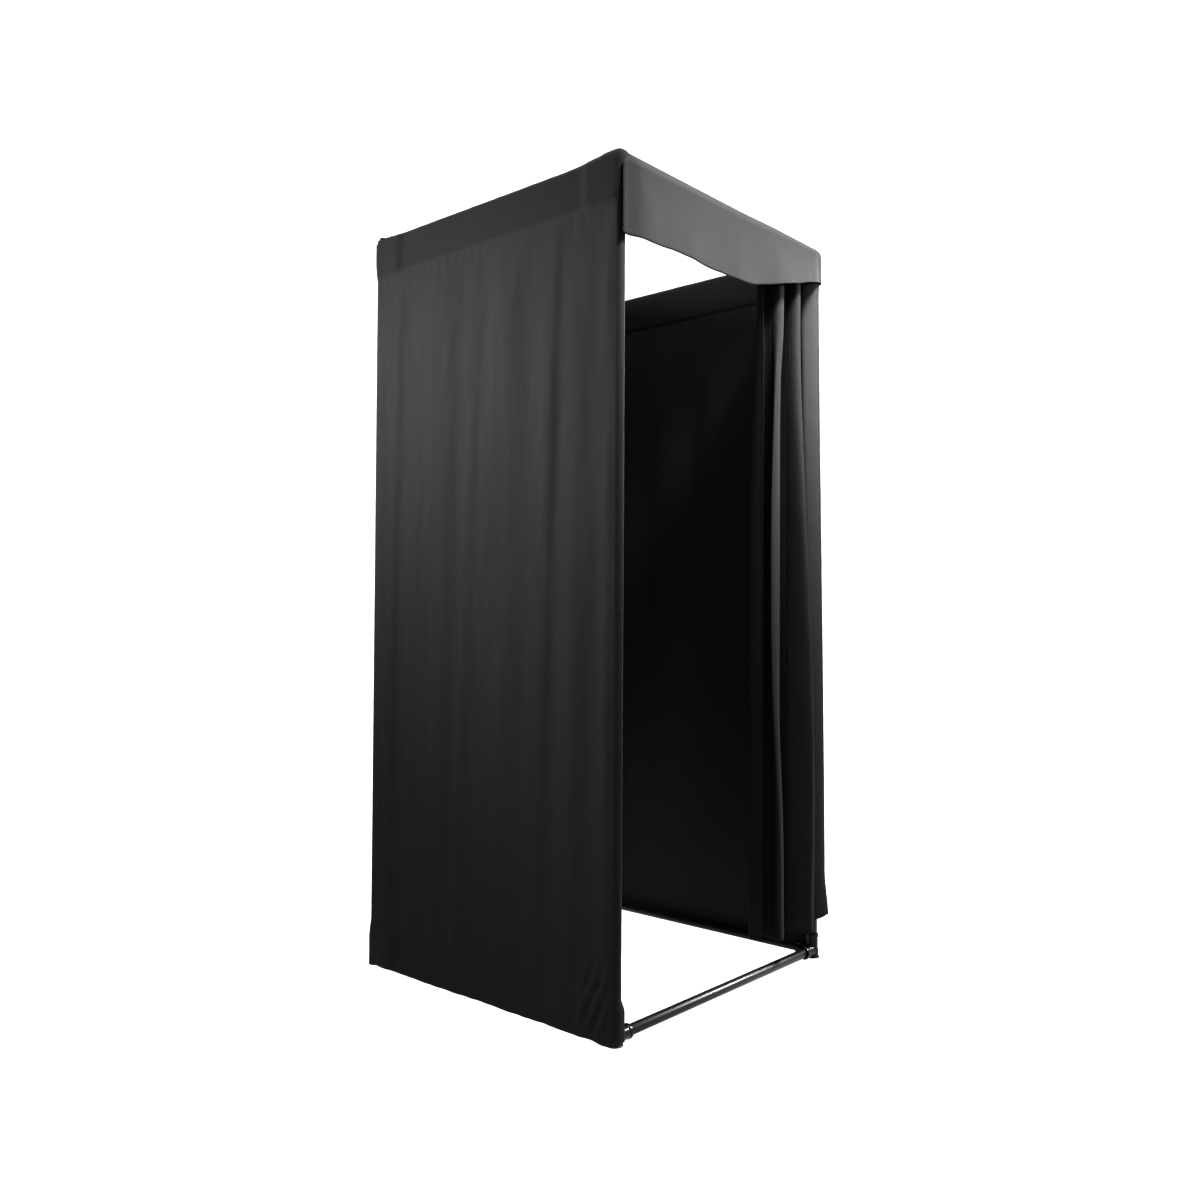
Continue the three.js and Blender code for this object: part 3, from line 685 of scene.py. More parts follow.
# Modelled for the corner whose rails run towards +X and +Y, then mirrored to the others
lowMaster = cornerPiece(["x", "y", "z"], True)
highMaster = cornerPiece(["x", "y", "down"], False)
foot = {
    "radius": 0.02,
    "thickness": 0.004,
    "stud": 0.005,
    "studTop": 0.0107,
    "edge": 0.0012,
    "chamfer": 0.0008,
    "dish": 0.0006,
    "sides": 64,
}
footMaster = turnedPiece([
    (foot["radius"] * 0.6, foot["dish"]),
    (foot["radius"] * 0.64, 0),
    (foot["radius"] - foot["edge"], 0),
    (foot["radius"] - foot["edge"] / 3, foot["edge"] / 3),
    (foot["radius"], foot["edge"]),
    (foot["radius"], foot["thickness"] - foot["chamfer"]),
    (foot["radius"] - foot["chamfer"], foot["thickness"]),
    (foot["stud"] + foot["dish"], foot["thickness"]),
    (foot["stud"], foot["thickness"] + foot["dish"]),
    (foot["stud"], foot["studTop"] - foot["chamfer"]),
    (foot["stud"] - foot["chamfer"], foot["studTop"]),
], foot["sides"])
smoothed(footMaster, 50)
for corner, (sideX, sideY) in corners.items():
    flip = Matrix.Diagonal((-sideX, -sideY, 1, 1))
    for level, master, z in (("bottom", lowMaster, railLow), ("top", highMaster, railTop)):
        made = copyOf(master, atCorner(corner, z) @ flip)
        node = f"{level}_corner_{corner}"
        dressed(made, node + "_fitting", "plastic", "fitting_plastic", "frame", node)
    made = copyOf(footMaster, atCorner(corner, 0))
    dressed(made, f"foot_{corner}_disc", "rubber", "foot_rubber", "frame", f"foot_{corner}")
for master in (lowMaster, highMaster, footMaster):
    bpy.data.objects.remove(master)
print("fittings and feet made")


# Cloth helpers

def ease(x):
    t = min(1.0, max(0.0, x))
    return t * t * (3 - 2 * t)


def rises(x, start, length):
    return ease((x - start) / length)


def falls(x, start, length):
    return ease((start - x) / length)


def mixed(a, b, share):
    return a + (b - a) * share


def through(points, x):
    # A smooth line through (place, value) pairs in rising order
    if x <= points[0][0]:
        return points[0][1]
    if x >= points[-1][0]:
        return points[-1][1]
    i = next(k for k in range(len(points) - 1) if x <= points[k + 1][0])
    (x0, y0), (x1, y1) = points[i], points[i + 1]
    before = points[max(0, i - 1)]
    after = points[min(len(points) - 1, i + 2)]
    m0 = (y1 - before[1]) / (x1 - before[0])
    m1 = (after[1] - y0) / (after[0] - x0)
    span = x1 - x0
    t = (x - x0) / span
    a = (2 * t ** 3 - 3 * t ** 2 + 1) * y0 + (t ** 3 - 2 * t ** 2 + t) * span * m0
    return a + (3 * t ** 2 - 2 * t ** 3) * y1 + (t ** 3 - t ** 2) * span * m1


# Each ripple's depth, how fast it changes along and up the cloth, and its own place in the noise
ripples = {
    "hemWave": (0.0022, 9, 0.3, 0),
    "hemFine": (0.0012, 31, 0.7, 0),
    "foldShare": (0.7, 7, 2.4, 5),
    "drift": (0.0016, 14, 1.3, 0),
    "puckerTurn": (5, 13, 2, 0),
    "puckerShare": (1.6, 7, 4, 0),
    "fine": (0.0009, 38, 9, 1),
    "sway": (0.0016, 5, 4.5, 2),
    "sleeve": (0.0011, 26, 0.4, 0),
    "pocket": (0.0008, 34, 0.5, 4),
    "valanceHem": (0.0016, 23, 0.4, 0),
    "valanceSway": (0.0042, 6.5, 5, 1),
    "valanceFine": (0.0014, 21, 13, 2),
    "curtainSway": (0.0022, 24, 2.6, 0),
    "curtainFine": (0.0008, 70, 9, 0),
}


def ripple(kind, x, y, seed):
    depth, along, up, shift = ripples[kind]
    return depth * noise.noise(Vector((x * along, y * up, seed + shift)))


def sheetFrom(name, grid, thickness, keep=lambda row, column: True, room=None):
    # One cloth from rows of points with their places on the flat cloth. keep says which cells
    # are cloth, and room which way the room lies, where the cloth's inner face is marked to be painted
    # lighter: painted light for the dim inside.
    index = {}
    vertices, faces, flatPlaces = [], [], []

    def vertex(row, column):
        if (row, column) not in index:
            index[row, column] = len(vertices)
            vertices.append(grid[row][column][0])
        return index[row, column]

    for row in range(len(grid) - 1):
        for column in range(len(grid[0]) - 1):
            if not keep(row, column):
                continue
            cell = [(row, column), (row, column + 1), (row + 1, column + 1), (row + 1, column)]
            faces.append([vertex(*place) for place in cell])
            flatPlaces.extend(grid[r][c][1] for r, c in cell)
    mesh = bpy.data.meshes.new(name)
    mesh.from_pydata(vertices, [], faces)
    layer = mesh.uv_layers.new(name="cloth")
    for loop, place in zip(layer.data, flatPlaces):
        loop.uv = place
    mesh.update()
    obj = bpy.data.objects.new(name, mesh)
    scene.collection.objects.link(obj)
    area = sum(face.area for face in mesh.polygons)
    applyModifier(obj, "SOLIDIFY", thickness=thickness, offset=0.0)
    outward(obj)
    activate(obj)
    bpy.ops.object.shade_smooth()
    # Faces towards the room are marked to be painted lighter: painted light for the dim inside
    paintedInsideLight = obj.data.attributes.new("paintedInsideLight", "FLOAT", "FACE")
    for face, mark in zip(obj.data.polygons, paintedInsideLight.data):
        mark.value = 1.0 if room and face.normal.dot(room) > 0.3 else 0.0
    return obj, area


def marks(low, high, step):
    count = max(1, round((high - low) / step))
    return [low + (high - low) * i / count for i in range(count + 1)]


# Walls: u runs along the wall, out away from the room, and z up
# A pair gives where a change over the cloth starts and over what length it grows, in metres
# up from the floor, or from the wall's end where it is below zero
wall = {
    "thickness": 0.0011,
    "tight": 0.0138,  # post axis to the sheet
    "overFitting": 0.0186,
    "overFittingFrom": (-0.11, 0.1),
    "ease": 0.03,
    "overlap": 0.002,  # how far the back wall runs on past a post
    "overSleeve": 0.003,
    "overDisc": 0.0034,  # out round the foot's disc
    "atEnd": (-0.05, 0.03),
    "discHigh": (0.04, 0.03),
    "loop": 0.0138,  # radius of the sleeve round a post
    "loopSteps": 7,
    "lap": 0.012,  # how far a cover runs on past a fitting
    "pocketEnd": 0.052,
    "sleeveTop": 0.052,
    "coverLow": (0.105, 0.03),
    "hood": 0.0224,  # rail axis to the cloth over a cap
    "hooded": (-0.1, 0.09),
    "hoodRows": 0.004,
    "hoodRound": (0.6, 0.8),  # powers that fill out its curve, past and up
    "hoodBlend": 0.02,
    "pocketLap": 3,  # steps of the pocket that run on where there is no hood
    "backRise": 0.011,  # of the raw edge where there is no hood
    "hem": 0.005,
    "leastHem": 0.0016,
    "footHem": (-0.05, 0.04),
    "footShare": 0.6,  # how much lower the hem hangs there
    "hemRise": 0.007,  # of a hooded front sleeve's end
    "flareHeight": 0.12,
    "flareFade": 0.12,
    "flareKept": 0.3,  # share of the back wall's flare at its ends
    "looseTop": 0.12,  # share of the looseness at the top
    "looseOut": 0.009,
    "looseReach": 0.024,
    "hemReach": 0.012,
    "hemReachFrom": (0.25, 0.14),
    "drift": 0.03,  # how far a fold moves along the wall in each metre up
    "driftLevel": 1.5,
    "driftFade": 0.15,
    "foldTop": (-0.02, 0.22),  # below the pocket's stitching
    "foldLow": (0.1, 0.9),
    "smallTop": 0.05,
    "sleeveFade": (0.004, 0.02),
    "endFade": (0, 0.05),
    "pucker": 0.0008,
    "puckerLength": 0.031,
    "puckerDrop": (0.012, 0.09),  # below the stitching, where it is full and where it has gone
    "sleeveCloth": 0.1,
    "pocketCloth": 0.145,
    "step": 0.0075,
}
# The pulled cloth over the foot of the front post
creased = {
    "depth": 0.0035,
    "across": 0.034,
    "up": 0.075,
    "end": (-0.11, 0.06),
    "top": (0.2, 0.08),
    "low": (0.01, 0.03),
}
# The loose sleeve hangs as a flat pouch: its back when tight and slack, and its turns, as
# (past the tube, out) pairs, and its rounded lower corner
pouch = {
    "tight": (-0.0145, -0.0448),
    "slack": (0.0145, -0.03),
    "bend": (-0.0013, -0.013),
    "turn": [(-0.0025, 0.0006), (-0.0042, 0.003)],
    "cornerRise": 0.018,
    "cornerSteps": 6,
    "cornerPower": 1.2,
    "cornerHeight": 0.035,
}
# Folds across a wall: place along it and depth in millimetres
leftFolds = [
    (-0.428, 0.5), (-0.385, 2.4), (-0.34, 3.6), (-0.312, 0.4), (-0.21, 3.2), (-0.135, 4.6), (-0.10, 1.4),
    (-0.085, 0.6), (-0.045, 4.0), (-0.005, 1.6), (0.095, 6.0), (0.165, 1.8), (0.235, 6.4), (0.262, 2.0),
    (0.33, 6.6), (0.378, 0.6), (0.413, 3.6), (0.428, 2.4),
]
rightFolds = [
    (-0.428, 1.5), (-0.388, 0), (-0.33, 5.4), (-0.26, 0.4), (-0.17, 6.0), (-0.06, 0.6), (0.02, 5.8),
    (0.12, 0.8), (0.20, 4.8), (0.29, 0.2), (0.35, 4.4), (0.388, 0.4), (0.428, 1.5),
]
backFolds = [
    (-0.428, 0), (-0.34, 5.2), (-0.25, 0.5), (-0.14, 6.0), (-0.05, 0.2), (0.06, 5.4),
    (0.16, 0.2), (0.24, 4.8), (0.33, 0.2), (0.39, 3.2), (0.428, 0),
]
# laps says how many steps of a sleeve run on over the fittings, below and above it
sideWall = {
    "flare": 0.007,
    "lift": 0.0,
    "loose": False,
    "hood": False,
    "material": "sideWall",
}
walls = {
    "left_wall": sideWall | {
        "place": lambda u, out, z: (-half - out, -u, z),
        "room": (1, 0, 0),
        "folds": leftFolds,
        "front": 1,
        "hood": True,
        "sleeves": {-1: 0.106, 1: 0.127},
        "laps": {-1: (7, 7), 1: (12, 12)},
        "seed": 3.1,
        "rails": ["top_rail_left", "post_upper_front_left", "post_upper_back_left"],
    },
    "right_wall": sideWall | {
        "place": lambda u, out, z: (half + out, u, z),
        "room": (-1, 0, 0),
        "folds": rightFolds,
        "front": -1,
        "lift": 0.012,
        "loose": True,
        "sleeves": {1: 0.106, -1: 0.112},
        "laps": {1: (7, 7), -1: (0, 11)},
        "seed": 8.7,
        "rails": ["top_rail_right", "post_upper_front_right", "post_upper_back_right"],
    },
    "back_wall": sideWall | {
        "place": lambda u, out, z: (-u, half + out, z),
        "room": (0, -1, 0),
        "folds": backFolds,
        "front": 0,
        "flare": 0.02,
        "sleeves": {},
        "seed": 14.3,
        "material": "backWall",
        "rails": ["top_rail_back"],
    },
}


def quarter(reach, out, steps):
    # From over a tube's outer side to past it
    turns = [math.pi / 2 * (1 - i / steps) for i in range(1, steps + 1)]
    return [(reach * math.cos(turn), out * math.sin(turn)) for turn in turns]


def straight(start, end, steps):
    return [tuple(mixed(a, b, i / steps) for a, b in zip(start, end)) for i in range(1, steps + 1)]


def loosePath(seam, out, reach, slack, steps):
    # The same steps as a tight sleeve's
    back = tuple(mixed(a, b, slack) for a, b in zip(pouch["tight"], pouch["slack"]))
    bend = (reach + pouch["bend"][0], pouch["bend"][1])
    path = quarter(reach, out, steps)
    pairs = zip(straight((reach, 0), bend, steps), straight(bend, back, steps))
    for i, (first, second) in enumerate(pairs, 1):
        path.append(tuple(mixed(a, b, i / steps) for a, b in zip(first, second)))
    path += [(back[0] + past, back[1] + aside) for past, aside in pouch["turn"]]
    return path + straight(path[-1], (-seam, out - wall["thickness"]), steps)


def loopPath(seam, out, reach, steps):
    # From over the tube's outer side, round it and back to the stitching, as (past the tube, out) pairs
    radius = wall["loop"]
    inner = out - wall["thickness"]
    path = quarter(reach, out, steps)
    for i in range(1, steps + 1):
        angle = -math.pi / 2 * i / steps
        path.append((reach * math.cos(angle), radius * math.sin(angle)))
    seamAngle = math.atan2(inner, -seam)
    tangent = seamAngle + math.acos(radius / math.hypot(seam, inner)) - 2 * math.pi
    for share in (0.5, 1):
        angle = mixed(-math.pi / 2, tangent, share)
        path.append((radius * math.cos(angle), radius * math.sin(angle)))
    return path + straight(path[-1], (-seam, inner), steps)


def coverPoint(at, out):
    # The same steps as a cover over a fitting: a quarter turn, then straight on past its front
    steps, over = wall["loopSteps"], wall["overFitting"]
    if at < steps:
        angle = math.pi / 2 * (1 - (at + 1) / steps)
        return over * math.cos(angle), out * math.sin(angle)
    return over, -wall["lap"] * min(1.0, (at + 1 - steps) / 5)


def pathLength(path):
    return sum(math.dist(a, b) for a, b in zip(path, path[1:]))


def makeWall(name, spec):
    step = wall["step"] * 1
    seamZ = railTop - pocketSeam
    front = spec["front"]
    seed = spec["seed"]
    edge = half if spec["sleeves"] else half + wall["overlap"]
    steps = wall["loopSteps"]
    pocketHalf = half - wall["pocketEnd"]

    def frontness(u):
        return rises(front * u / half, 0.25, 0.5) if front else 0.0

    def looseness(u, z):
        if not spec["loose"]:
            return 0.0
        return ease(mixed(wall["looseTop"], 1, (railTop - z) / railTop)) * frontness(u)

    def hemZ(u):
        hem = wall["hem"] + spec["lift"] * frontness(u)
        hem += ripple("hemWave", u, 1, seed) + ripple("hemFine", u, 1, seed)
        overFoot = rises(front * u - half, *wall["footHem"]) if spec["hood"] else 0.0
        return max(wall["leastHem"], hem * (1 - wall["footShare"] * overFoot))

    def standOff(u, z):
        eased = 2 * wall["ease"] + fitting["reach"]
        beside = rises(abs(u), half - eased, wall["ease"])
        high = rises(z, railTop - eased, wall["ease"])
        low = falls(z, railLow + eased, wall["ease"])
        inner = falls(abs(u), half, wall["flareFade"])
        flare = spec["flare"] * falls(z, wall["flareHeight"], wall["flareHeight"])
        flare *= inner if spec["sleeves"] else mixed(wall["flareKept"], 1, inner)
        over = (wall["overFitting"] - wall["tight"]) * beside * max(high, low)
        if not spec["sleeves"]:
            over += wall["overSleeve"] * rises(abs(u) - half, *wall["atEnd"])
        if spec["hood"]:
            over += wall["overDisc"] * rises(front * u - half, *wall["atEnd"]) * falls(z, *wall["discHigh"])
        return wall["tight"] + over + flare + wall["looseOut"] * looseness(u, z)

    def footCreases(u, z):
        before = front * u - half
        near = rises(before, *creased["end"]) * falls(z, *creased["top"]) * rises(z, *creased["low"])
        turns = z / creased["up"] - before / creased["across"]
        return creased["depth"] * near * math.sin(2 * math.pi * turns)

    def folds(u, z):
        below = seamZ - z
        if below <= 0:
            return 0.0
        place = u + wall["drift"] * (wall["driftLevel"] - z) * falls(abs(u), half, wall["driftFade"])
        depth = through(spec["folds"], place) / 1000 * (0.8 + ripple("foldShare", place, z, seed))
        depth += ripple("drift", place, z, seed)
        grown = rises(below, *wall["foldTop"]) * mixed(0.5, 1, rises(z, *wall["foldLow"]))
        turn = u * 2 * math.pi / wall["puckerLength"] + ripple("puckerTurn", u, 1, seed)
        pucker = wall["pucker"] * math.sin(turn) * ease(0.5 + ripple("puckerShare", u, 1, seed))
        full, gone = wall["puckerDrop"]
        pucker *= ease(below / full) * (1 - ease(below / gone))
        small = (ripple("fine", u, z, seed) + ripple("sway", u, z, seed)) * ease(below / wall["smallTop"])
        creases = footCreases(u, z) if spec["hood"] else 0.0
        edgeFade = falls(abs(u) - half, *wall["sleeveFade" if spec["sleeves"] else "endFade"])
        return (depth * grown + pucker + small + creases) * edgeFade

    def coverShare(z):
        high = rises(z, railTop - wall["sleeveTop"] - wall["ease"], wall["ease"])
        return max(high, falls(z, *wall["coverLow"]))

    def sleevePoint(end, at, z):
        out = standOff(end * half, z)
        slack = looseness(end * half, z) if end == front else 0.0
        reach = wall["loop"]
        if slack:
            reach += wall["looseReach"] * slack + wall["hemReach"] * falls(z, *wall["hemReachFrom"])
        if spec["loose"] and end == front:
            path = loosePath(sleeveSeam, out, reach, slack, steps)
        else:
            path = loopPath(sleeveSeam, out, reach, steps)
        share = 0.0 if slack and z < 1 else coverShare(z)
        past, aside = (mixed(a, b, share) for a, b in zip(path[at], coverPoint(at, out)))
        crumple = abs(ripple("sleeve", z, at, seed + end))
        crumple *= 1 - ease(abs(at - len(path) / 2) / (len(path) / 2) - 0.5)
        return past + crumple, aside, pathLength([(0, out)] + path[:at + 1])

    def topHeight(u):
        # Rail axis to the cloth over the rail, which lies over the fitting and its cap where it is hooded
        if not spec["hood"] or front * u < 0:
            return wall["loop"]
        nearFitting = rises(front * u - pocketHalf, *wall["overFittingFrom"])
        over = mixed(wall["loop"], wall["overFitting"], nearFitting)
        return mixed(over, wall["hood"], rises(front * u - half, *wall["hooded"]))

    mainU = marks(-edge, -pocketHalf, step) + marks(-pocketHalf, pocketHalf, step)[1:]
    mainU += marks(pocketHalf, edge, step)[1:]
    heights = marks(0.0, 1.0, step / (seamZ + pocketSeam))
    pocketPath = loopPath(pocketSeam, wall["tight"], wall["loop"], steps)
    loopCount = len(pocketPath)
    before = range(loopCount - 1, -1, -1) if -1 in spec["sleeves"] else []
    after = range(loopCount) if 1 in spec["sleeves"] else []
    columns = [("loop", -1, at) for at in before]
    columns += [("main", 0, u) for u in mainU]
    columns += [("loop", 1, at) for at in after]
    rows = [("main", share) for share in heights] + [("loop", at) for at in range(loopCount)]

    def hoodPoint(value, past, aside, height, roundness):
        angle = math.pi / 2 * min(1.0, (value + 1) / steps)
        pastPower, upPower = (mixed(1, power, roundness) for power in wall["hoodRound"])
        inward = math.cos(angle) ** pastPower if angle < 1.57 else 0.0
        risen = height * math.sin(angle) ** upPower
        return past * inward, aside * inward, railTop + risen

    def sleeveCloth(kind, value, end, at):
        bottom = hemZ(end * half)
        if spec["hood"] and end == front:
            bottom += wall["hemRise"] * min(1.0, (at + 1) / steps)
        z = mixed(bottom, railTop, value) if kind == "main" else railTop
        if spec["loose"] and end == front:
            near = (z - spec["sleeves"][end]) / pouch["cornerHeight"]
            beside = max(0.0, 1 - abs(at - steps + 1) / pouch["cornerSteps"])
            z += pouch["cornerRise"] * beside ** pouch["cornerPower"] * math.exp(-near * near)
        past, aside, length = sleevePoint(end, at, z)
        place = (end * (half + length), z - bottom + wall["hem"])
        if kind == "loop":
            past, aside, z = hoodPoint(value, past, aside, topHeight(end * half), 1.0)
            place = (place[0], railTop + value * wall["hoodRows"])
        return spec["place"](end * (half + past), aside, z), place

    def pocketCloth(value, u):
        out = standOff(u, railTop)
        length = pathLength([(0, wall["tight"])] + pocketPath[:value + 1])
        place = (u, railTop + length)
        if abs(u) > pocketHalf + 0.0001:
            if spec["hood"] and front * u > 0:
                roundness = rises(abs(u), pocketHalf, wall["hoodBlend"])
                aside, z = hoodPoint(value, 0.0, out, topHeight(u), roundness)[1:]
                return spec["place"](u, aside, z), place
            return spec["place"](u, out, railTop + min(length, wall["backRise"])), place
        rise, aside = pocketPath[value]
        if aside > 0:
            aside *= out / wall["tight"]
        crumple = ripple("pocket", u, value, seed)
        lifted = rise * topHeight(u) / wall["loop"] + abs(crumple) if rise > 0 else rise
        return spec["place"](u, aside + crumple, railTop + lifted), place

    def pointAt(kind, value, columnKind, end, at):
        if columnKind == "loop":
            return sleeveCloth(kind, value, end, at)
        if kind == "loop":
            return pocketCloth(value, at)
        bottom = hemZ(at)
        z = mixed(bottom, railTop, value)
        return spec["place"](at, standOff(at, z) + folds(at, z), z), (at, z - bottom + wall["hem"])

    cells = [[row + column for column in columns] for row in rows]
    grid = [[pointAt(*cell) for cell in line] for line in cells]

    def keep(row, column):
        value, columnKind, end, at = cells[row][column][1:]
        upKind, upValue = cells[row + 1][column][:2]
        rightKind, rightEnd, rightAt = cells[row][column + 1][2:]
        side = end or (rightEnd if rightKind == "loop" else 0)
        hooded = spec["hood"] and (side == front or (not side and front * (at + rightAt) > 0))
        if not side:
            if upKind != "loop" or abs(at + rightAt) / 2 < pocketHalf:
                return True
            return upValue < (steps if hooded else wall["pocketLap"])
        last = max(at if columnKind == "loop" else -1, rightAt if rightKind == "loop" else -1)
        below, above = spec["laps"][side]
        if upKind == "loop":
            return hooded and upValue < steps and last < above
        z = mixed(hemZ(side * half), railTop, (value + upValue) / 2)
        if z < spec["sleeves"][side]:
            return last < below
        return z < railTop - wall["sleeveTop"] or last < above

    obj, area = sheetFrom(name + "_cloth", grid, wall["thickness"], keep, Vector(spec["room"]))
    width = 2 * edge + len(spec["sleeves"]) * wall["sleeveCloth"]
    length = railTop + wall["pocketCloth"]
    dressed(obj, name + "_cloth", spec["material"], "wall_cloth", "frame", name)
    min(area, width * length)
    print(name, "area", round(area, 3), "of", round(width * length, 3), "faces", len(obj.data.polygons))


for wallName, wallSpec in walls.items():
    makeWall(wallName, wallSpec)


# Valance over the front rail

valance = {
    "thickness": 0.0011,
    "end": 0.0195,
    "flapOver": 0.013,
    "wrap": 0.032,  # how far the right end turns round its post
    "wrapRadius": 0.0225,
    "drop": 0.176,
    "backDrop": 0.03,
    "flat": 0.006,
    "shoulder": 0.018,
    "shoulderDrop": 0.006,
    "rise": 0.0186,
    "front": 0.03,
    "back": 0.026,
    "tuck": 0.007,
    "tuckLength": 0.045,
    "bulge": 0.017,
    "bulgePlace": 0.26,
    "bulgeWidth": 0.18,
    "bulgeFade": 0.1,
    "flapStart": 0.05,  # share of the drop, where the flap leaves the rail
    "wave": 0.0035,
    "waveLength": 0.19,
    "waveTurn": 1.2,
    "waveFade": 0.06,
    "puff": 0.0035,
    "puffFrom": (0.02, 0.2),
    "inward": 0.003,  # how far its waves may go into the room
    "hem": [0.99, 0.98, 0.95, 0.98, 0.98, 0.98, 0.86, 0.72, 0.57, 0.42],
    "rows": (5, 12, 34),  # behind the rail, over it and down the flap
    "backRow": 0.005,
    "overRail": 0.1,
    "step": 0.007,
    "seed": 21.7,
}


def makeValance(spec):
    seed, start = spec["seed"], spec["flapStart"]
    backRows, topRows, flapRows = spec["rows"]
    flapRow = backRows + topRows
    places = marks(-half, half, 2 * half / (len(spec["hem"]) - 1))
    hem = [(x, spec["drop"] * share) for x, share in zip(places, spec["hem"])]
    xs = marks(-half, half, spec["step"] * (1))

    def pointAt(row, place):
        over = spec["wrap"] if place > 0 else spec["flapOver"]
        onFlap = rises(row, backRows + topRows * 0.6, 6)
        along = place / half * mixed(half - spec["end"], half + over, onFlap)
        turn = max(0.0, along - half) / spec["wrapRadius"] if place > 0 else 0.0
        x = half + spec["wrapRadius"] * math.sin(turn) if turn else along
        turnedBack = spec["wrapRadius"] * (1 - math.cos(turn))
        drop = through(hem, x) + ripple("valanceHem", x, 1, seed)
        tuck = spec["tuck"] * (1 - falls(abs(x), half, spec["tuckLength"]))
        off = (x - spec["bulgePlace"]) / spec["bulgeWidth"]
        bulge = spec["bulge"] * math.exp(-off * off) * falls(x, half, spec["bulgeFade"])
        fallen = max(0.0, (row - flapRow) / flapRows)
        if fallen:
            share = mixed(start, 1, fallen)
            y, z = -spec["front"] + tuck - bulge * share, -drop * share
        else:
            knots = [
                (0, spec["back"], -spec["backDrop"]),
                (backRows, spec["back"], -spec["shoulderDrop"]),
                (backRows + topRows * 0.28, spec["shoulder"], spec["rise"] - spec["shoulderDrop"]),
                (backRows + topRows * 0.42, spec["flat"], spec["rise"]),
                (backRows + topRows * 0.58, -spec["flat"], spec["rise"]),
                (backRows + topRows * 0.72, -spec["shoulder"], spec["rise"] - spec["shoulderDrop"]),
                (flapRow, -spec["front"] + tuck - bulge * start, -drop * start),
            ]
            y, z = (through([(knot[0], knot[i]) for knot in knots], row) for i in (1, 2))
        swell = ripple("valanceSway", x, z, seed) + ripple("valanceFine", x, z, seed)
        turn = x * 2 * math.pi / spec["waveLength"] + spec["waveTurn"]
        swell += spec["wave"] * math.sin(turn) * ease(fallen)
        # Waves go out from the room, as the curtain slides close behind the cloth
        swell = (swell + math.hypot(swell, spec["inward"]) - spec["inward"]) / 2
        y += turnedBack - swell * ease(fallen * 2.5) * falls(abs(along), half, spec["waveFade"])
        puff = spec["puff"] * rises(x, *spec["puffFrom"]) * (1 - ease(fallen * 6)) * (row > backRows)
        v = drop * (1 - fallen) if fallen else drop + (flapRow - row) * spec["backRow"]
        return (x, -half + y, railTop + z + puff), (x, v)

    grid = [[pointAt(row, place) for place in xs] for row in range(flapRow + flapRows + 1)]
    obj, area = sheetFrom("valance_cloth", grid, spec["thickness"])
    dressed(obj, "valance_cloth", "valance", "valance_cloth", "frame", "valance")


makeValance(valance)


# Curtain, its rings and clips

rings = [middleOf(f"curtain_ring_{number}") for number in range(1, 6)]
pitch = rings[0].x - rings[1].x
curtain = {
    "thickness": 0.001,
    "top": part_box("curtain_pleat_1")[1][2],
    "hem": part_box("curtain_pleat_1")[0][2],
    "depth": [
        [0.026, 0.026, 0.026, 0.03, 0.047, 0.06, 0.06, 0.058],
        [0.026, 0.026, 0.03, 0.04, 0.05, 0.05, 0.05, 0.05],
        [0.023, 0.023, 0.024, 0.025, 0.025, 0.028, 0.034, 0.036],
        [0.026, 0.026, 0.03, 0.04, 0.05, 0.05, 0.05, 0.05],
    ],
    "straight": 0.0035,
    "round": 0.7,
    "scallop": 0.007,
    "scallopDrop": 0.03,
    "steps": 26,
    "rows": [0, 0.05, 0.12, 0.2, 0.4, 0.62, 0.82, 1],
    "lean": [
        [0, 0, 0, 0, 0, 0.3, 0.6, 0.6],
        [0, 0, 0, 0, -0.1, 0, 0.1, 0.1],
        [0, 0, -0.15, -0.7, -1.2, -1.15, -0.5, -0.4],
        [0, 0, 0, 0, -0.1, -0.1, 0, 0],
    ],
    "leading": 0.12,  # depth of the leading edge's strip, as a share of a fold's
    "leadingStep": 0.0006,
    "fixed": 0.074,
    "fixedSteps": 14,
    "heldAt": 0.012,
    "cloth": 1.02,
    "down": 0.011,
    "seed": 31.9,
}


def depthAt(number, share):
    return through(list(zip(curtain["rows"], curtain["depth"][number])), share)


def leanAt(number, share):
    return pitch * through(list(zip(curtain["rows"], curtain["lean"][number])), share)


def foldLine(number, share):
    # One fold of the curtain seen from above, from its right ring to its left one
    depth = depthAt(number - 1, share)
    side = -1 if number % 2 else 1
    steps = curtain["steps"]
    line = [(pitch / 2, 0.0)]
    for i in range(steps + 1):
        angle = math.pi * i / steps
        cosine, sine = math.cos(angle), math.sin(angle)
        across = math.copysign(abs(cosine) ** curtain["round"], cosine) * pitch / 2
        out = mixed(curtain["straight"], depth, sine)
        line.append((across + leanAt(number - 1, share) * sine, side * out))
    line.append((-pitch / 2, 0.0))
    if number == 4:
        for i in range(1, 4):
            out = curtain["leading"] * depthAt(2, 0) * i / 3
            line.append((-pitch / 2 - curtain["leadingStep"] * i, -side * out))
    return line


def fixedLine(share):
    line = [(0.0, 0.0)]
    for i in range(curtain["fixedSteps"] + 1):
        angle = math.pi / 2 * i / curtain["fixedSteps"]
        out = mixed(curtain["straight"], depthAt(0, 0), math.sin(angle))
        line.append((curtain["fixed"] * (1 - math.cos(angle)), out))
    return line


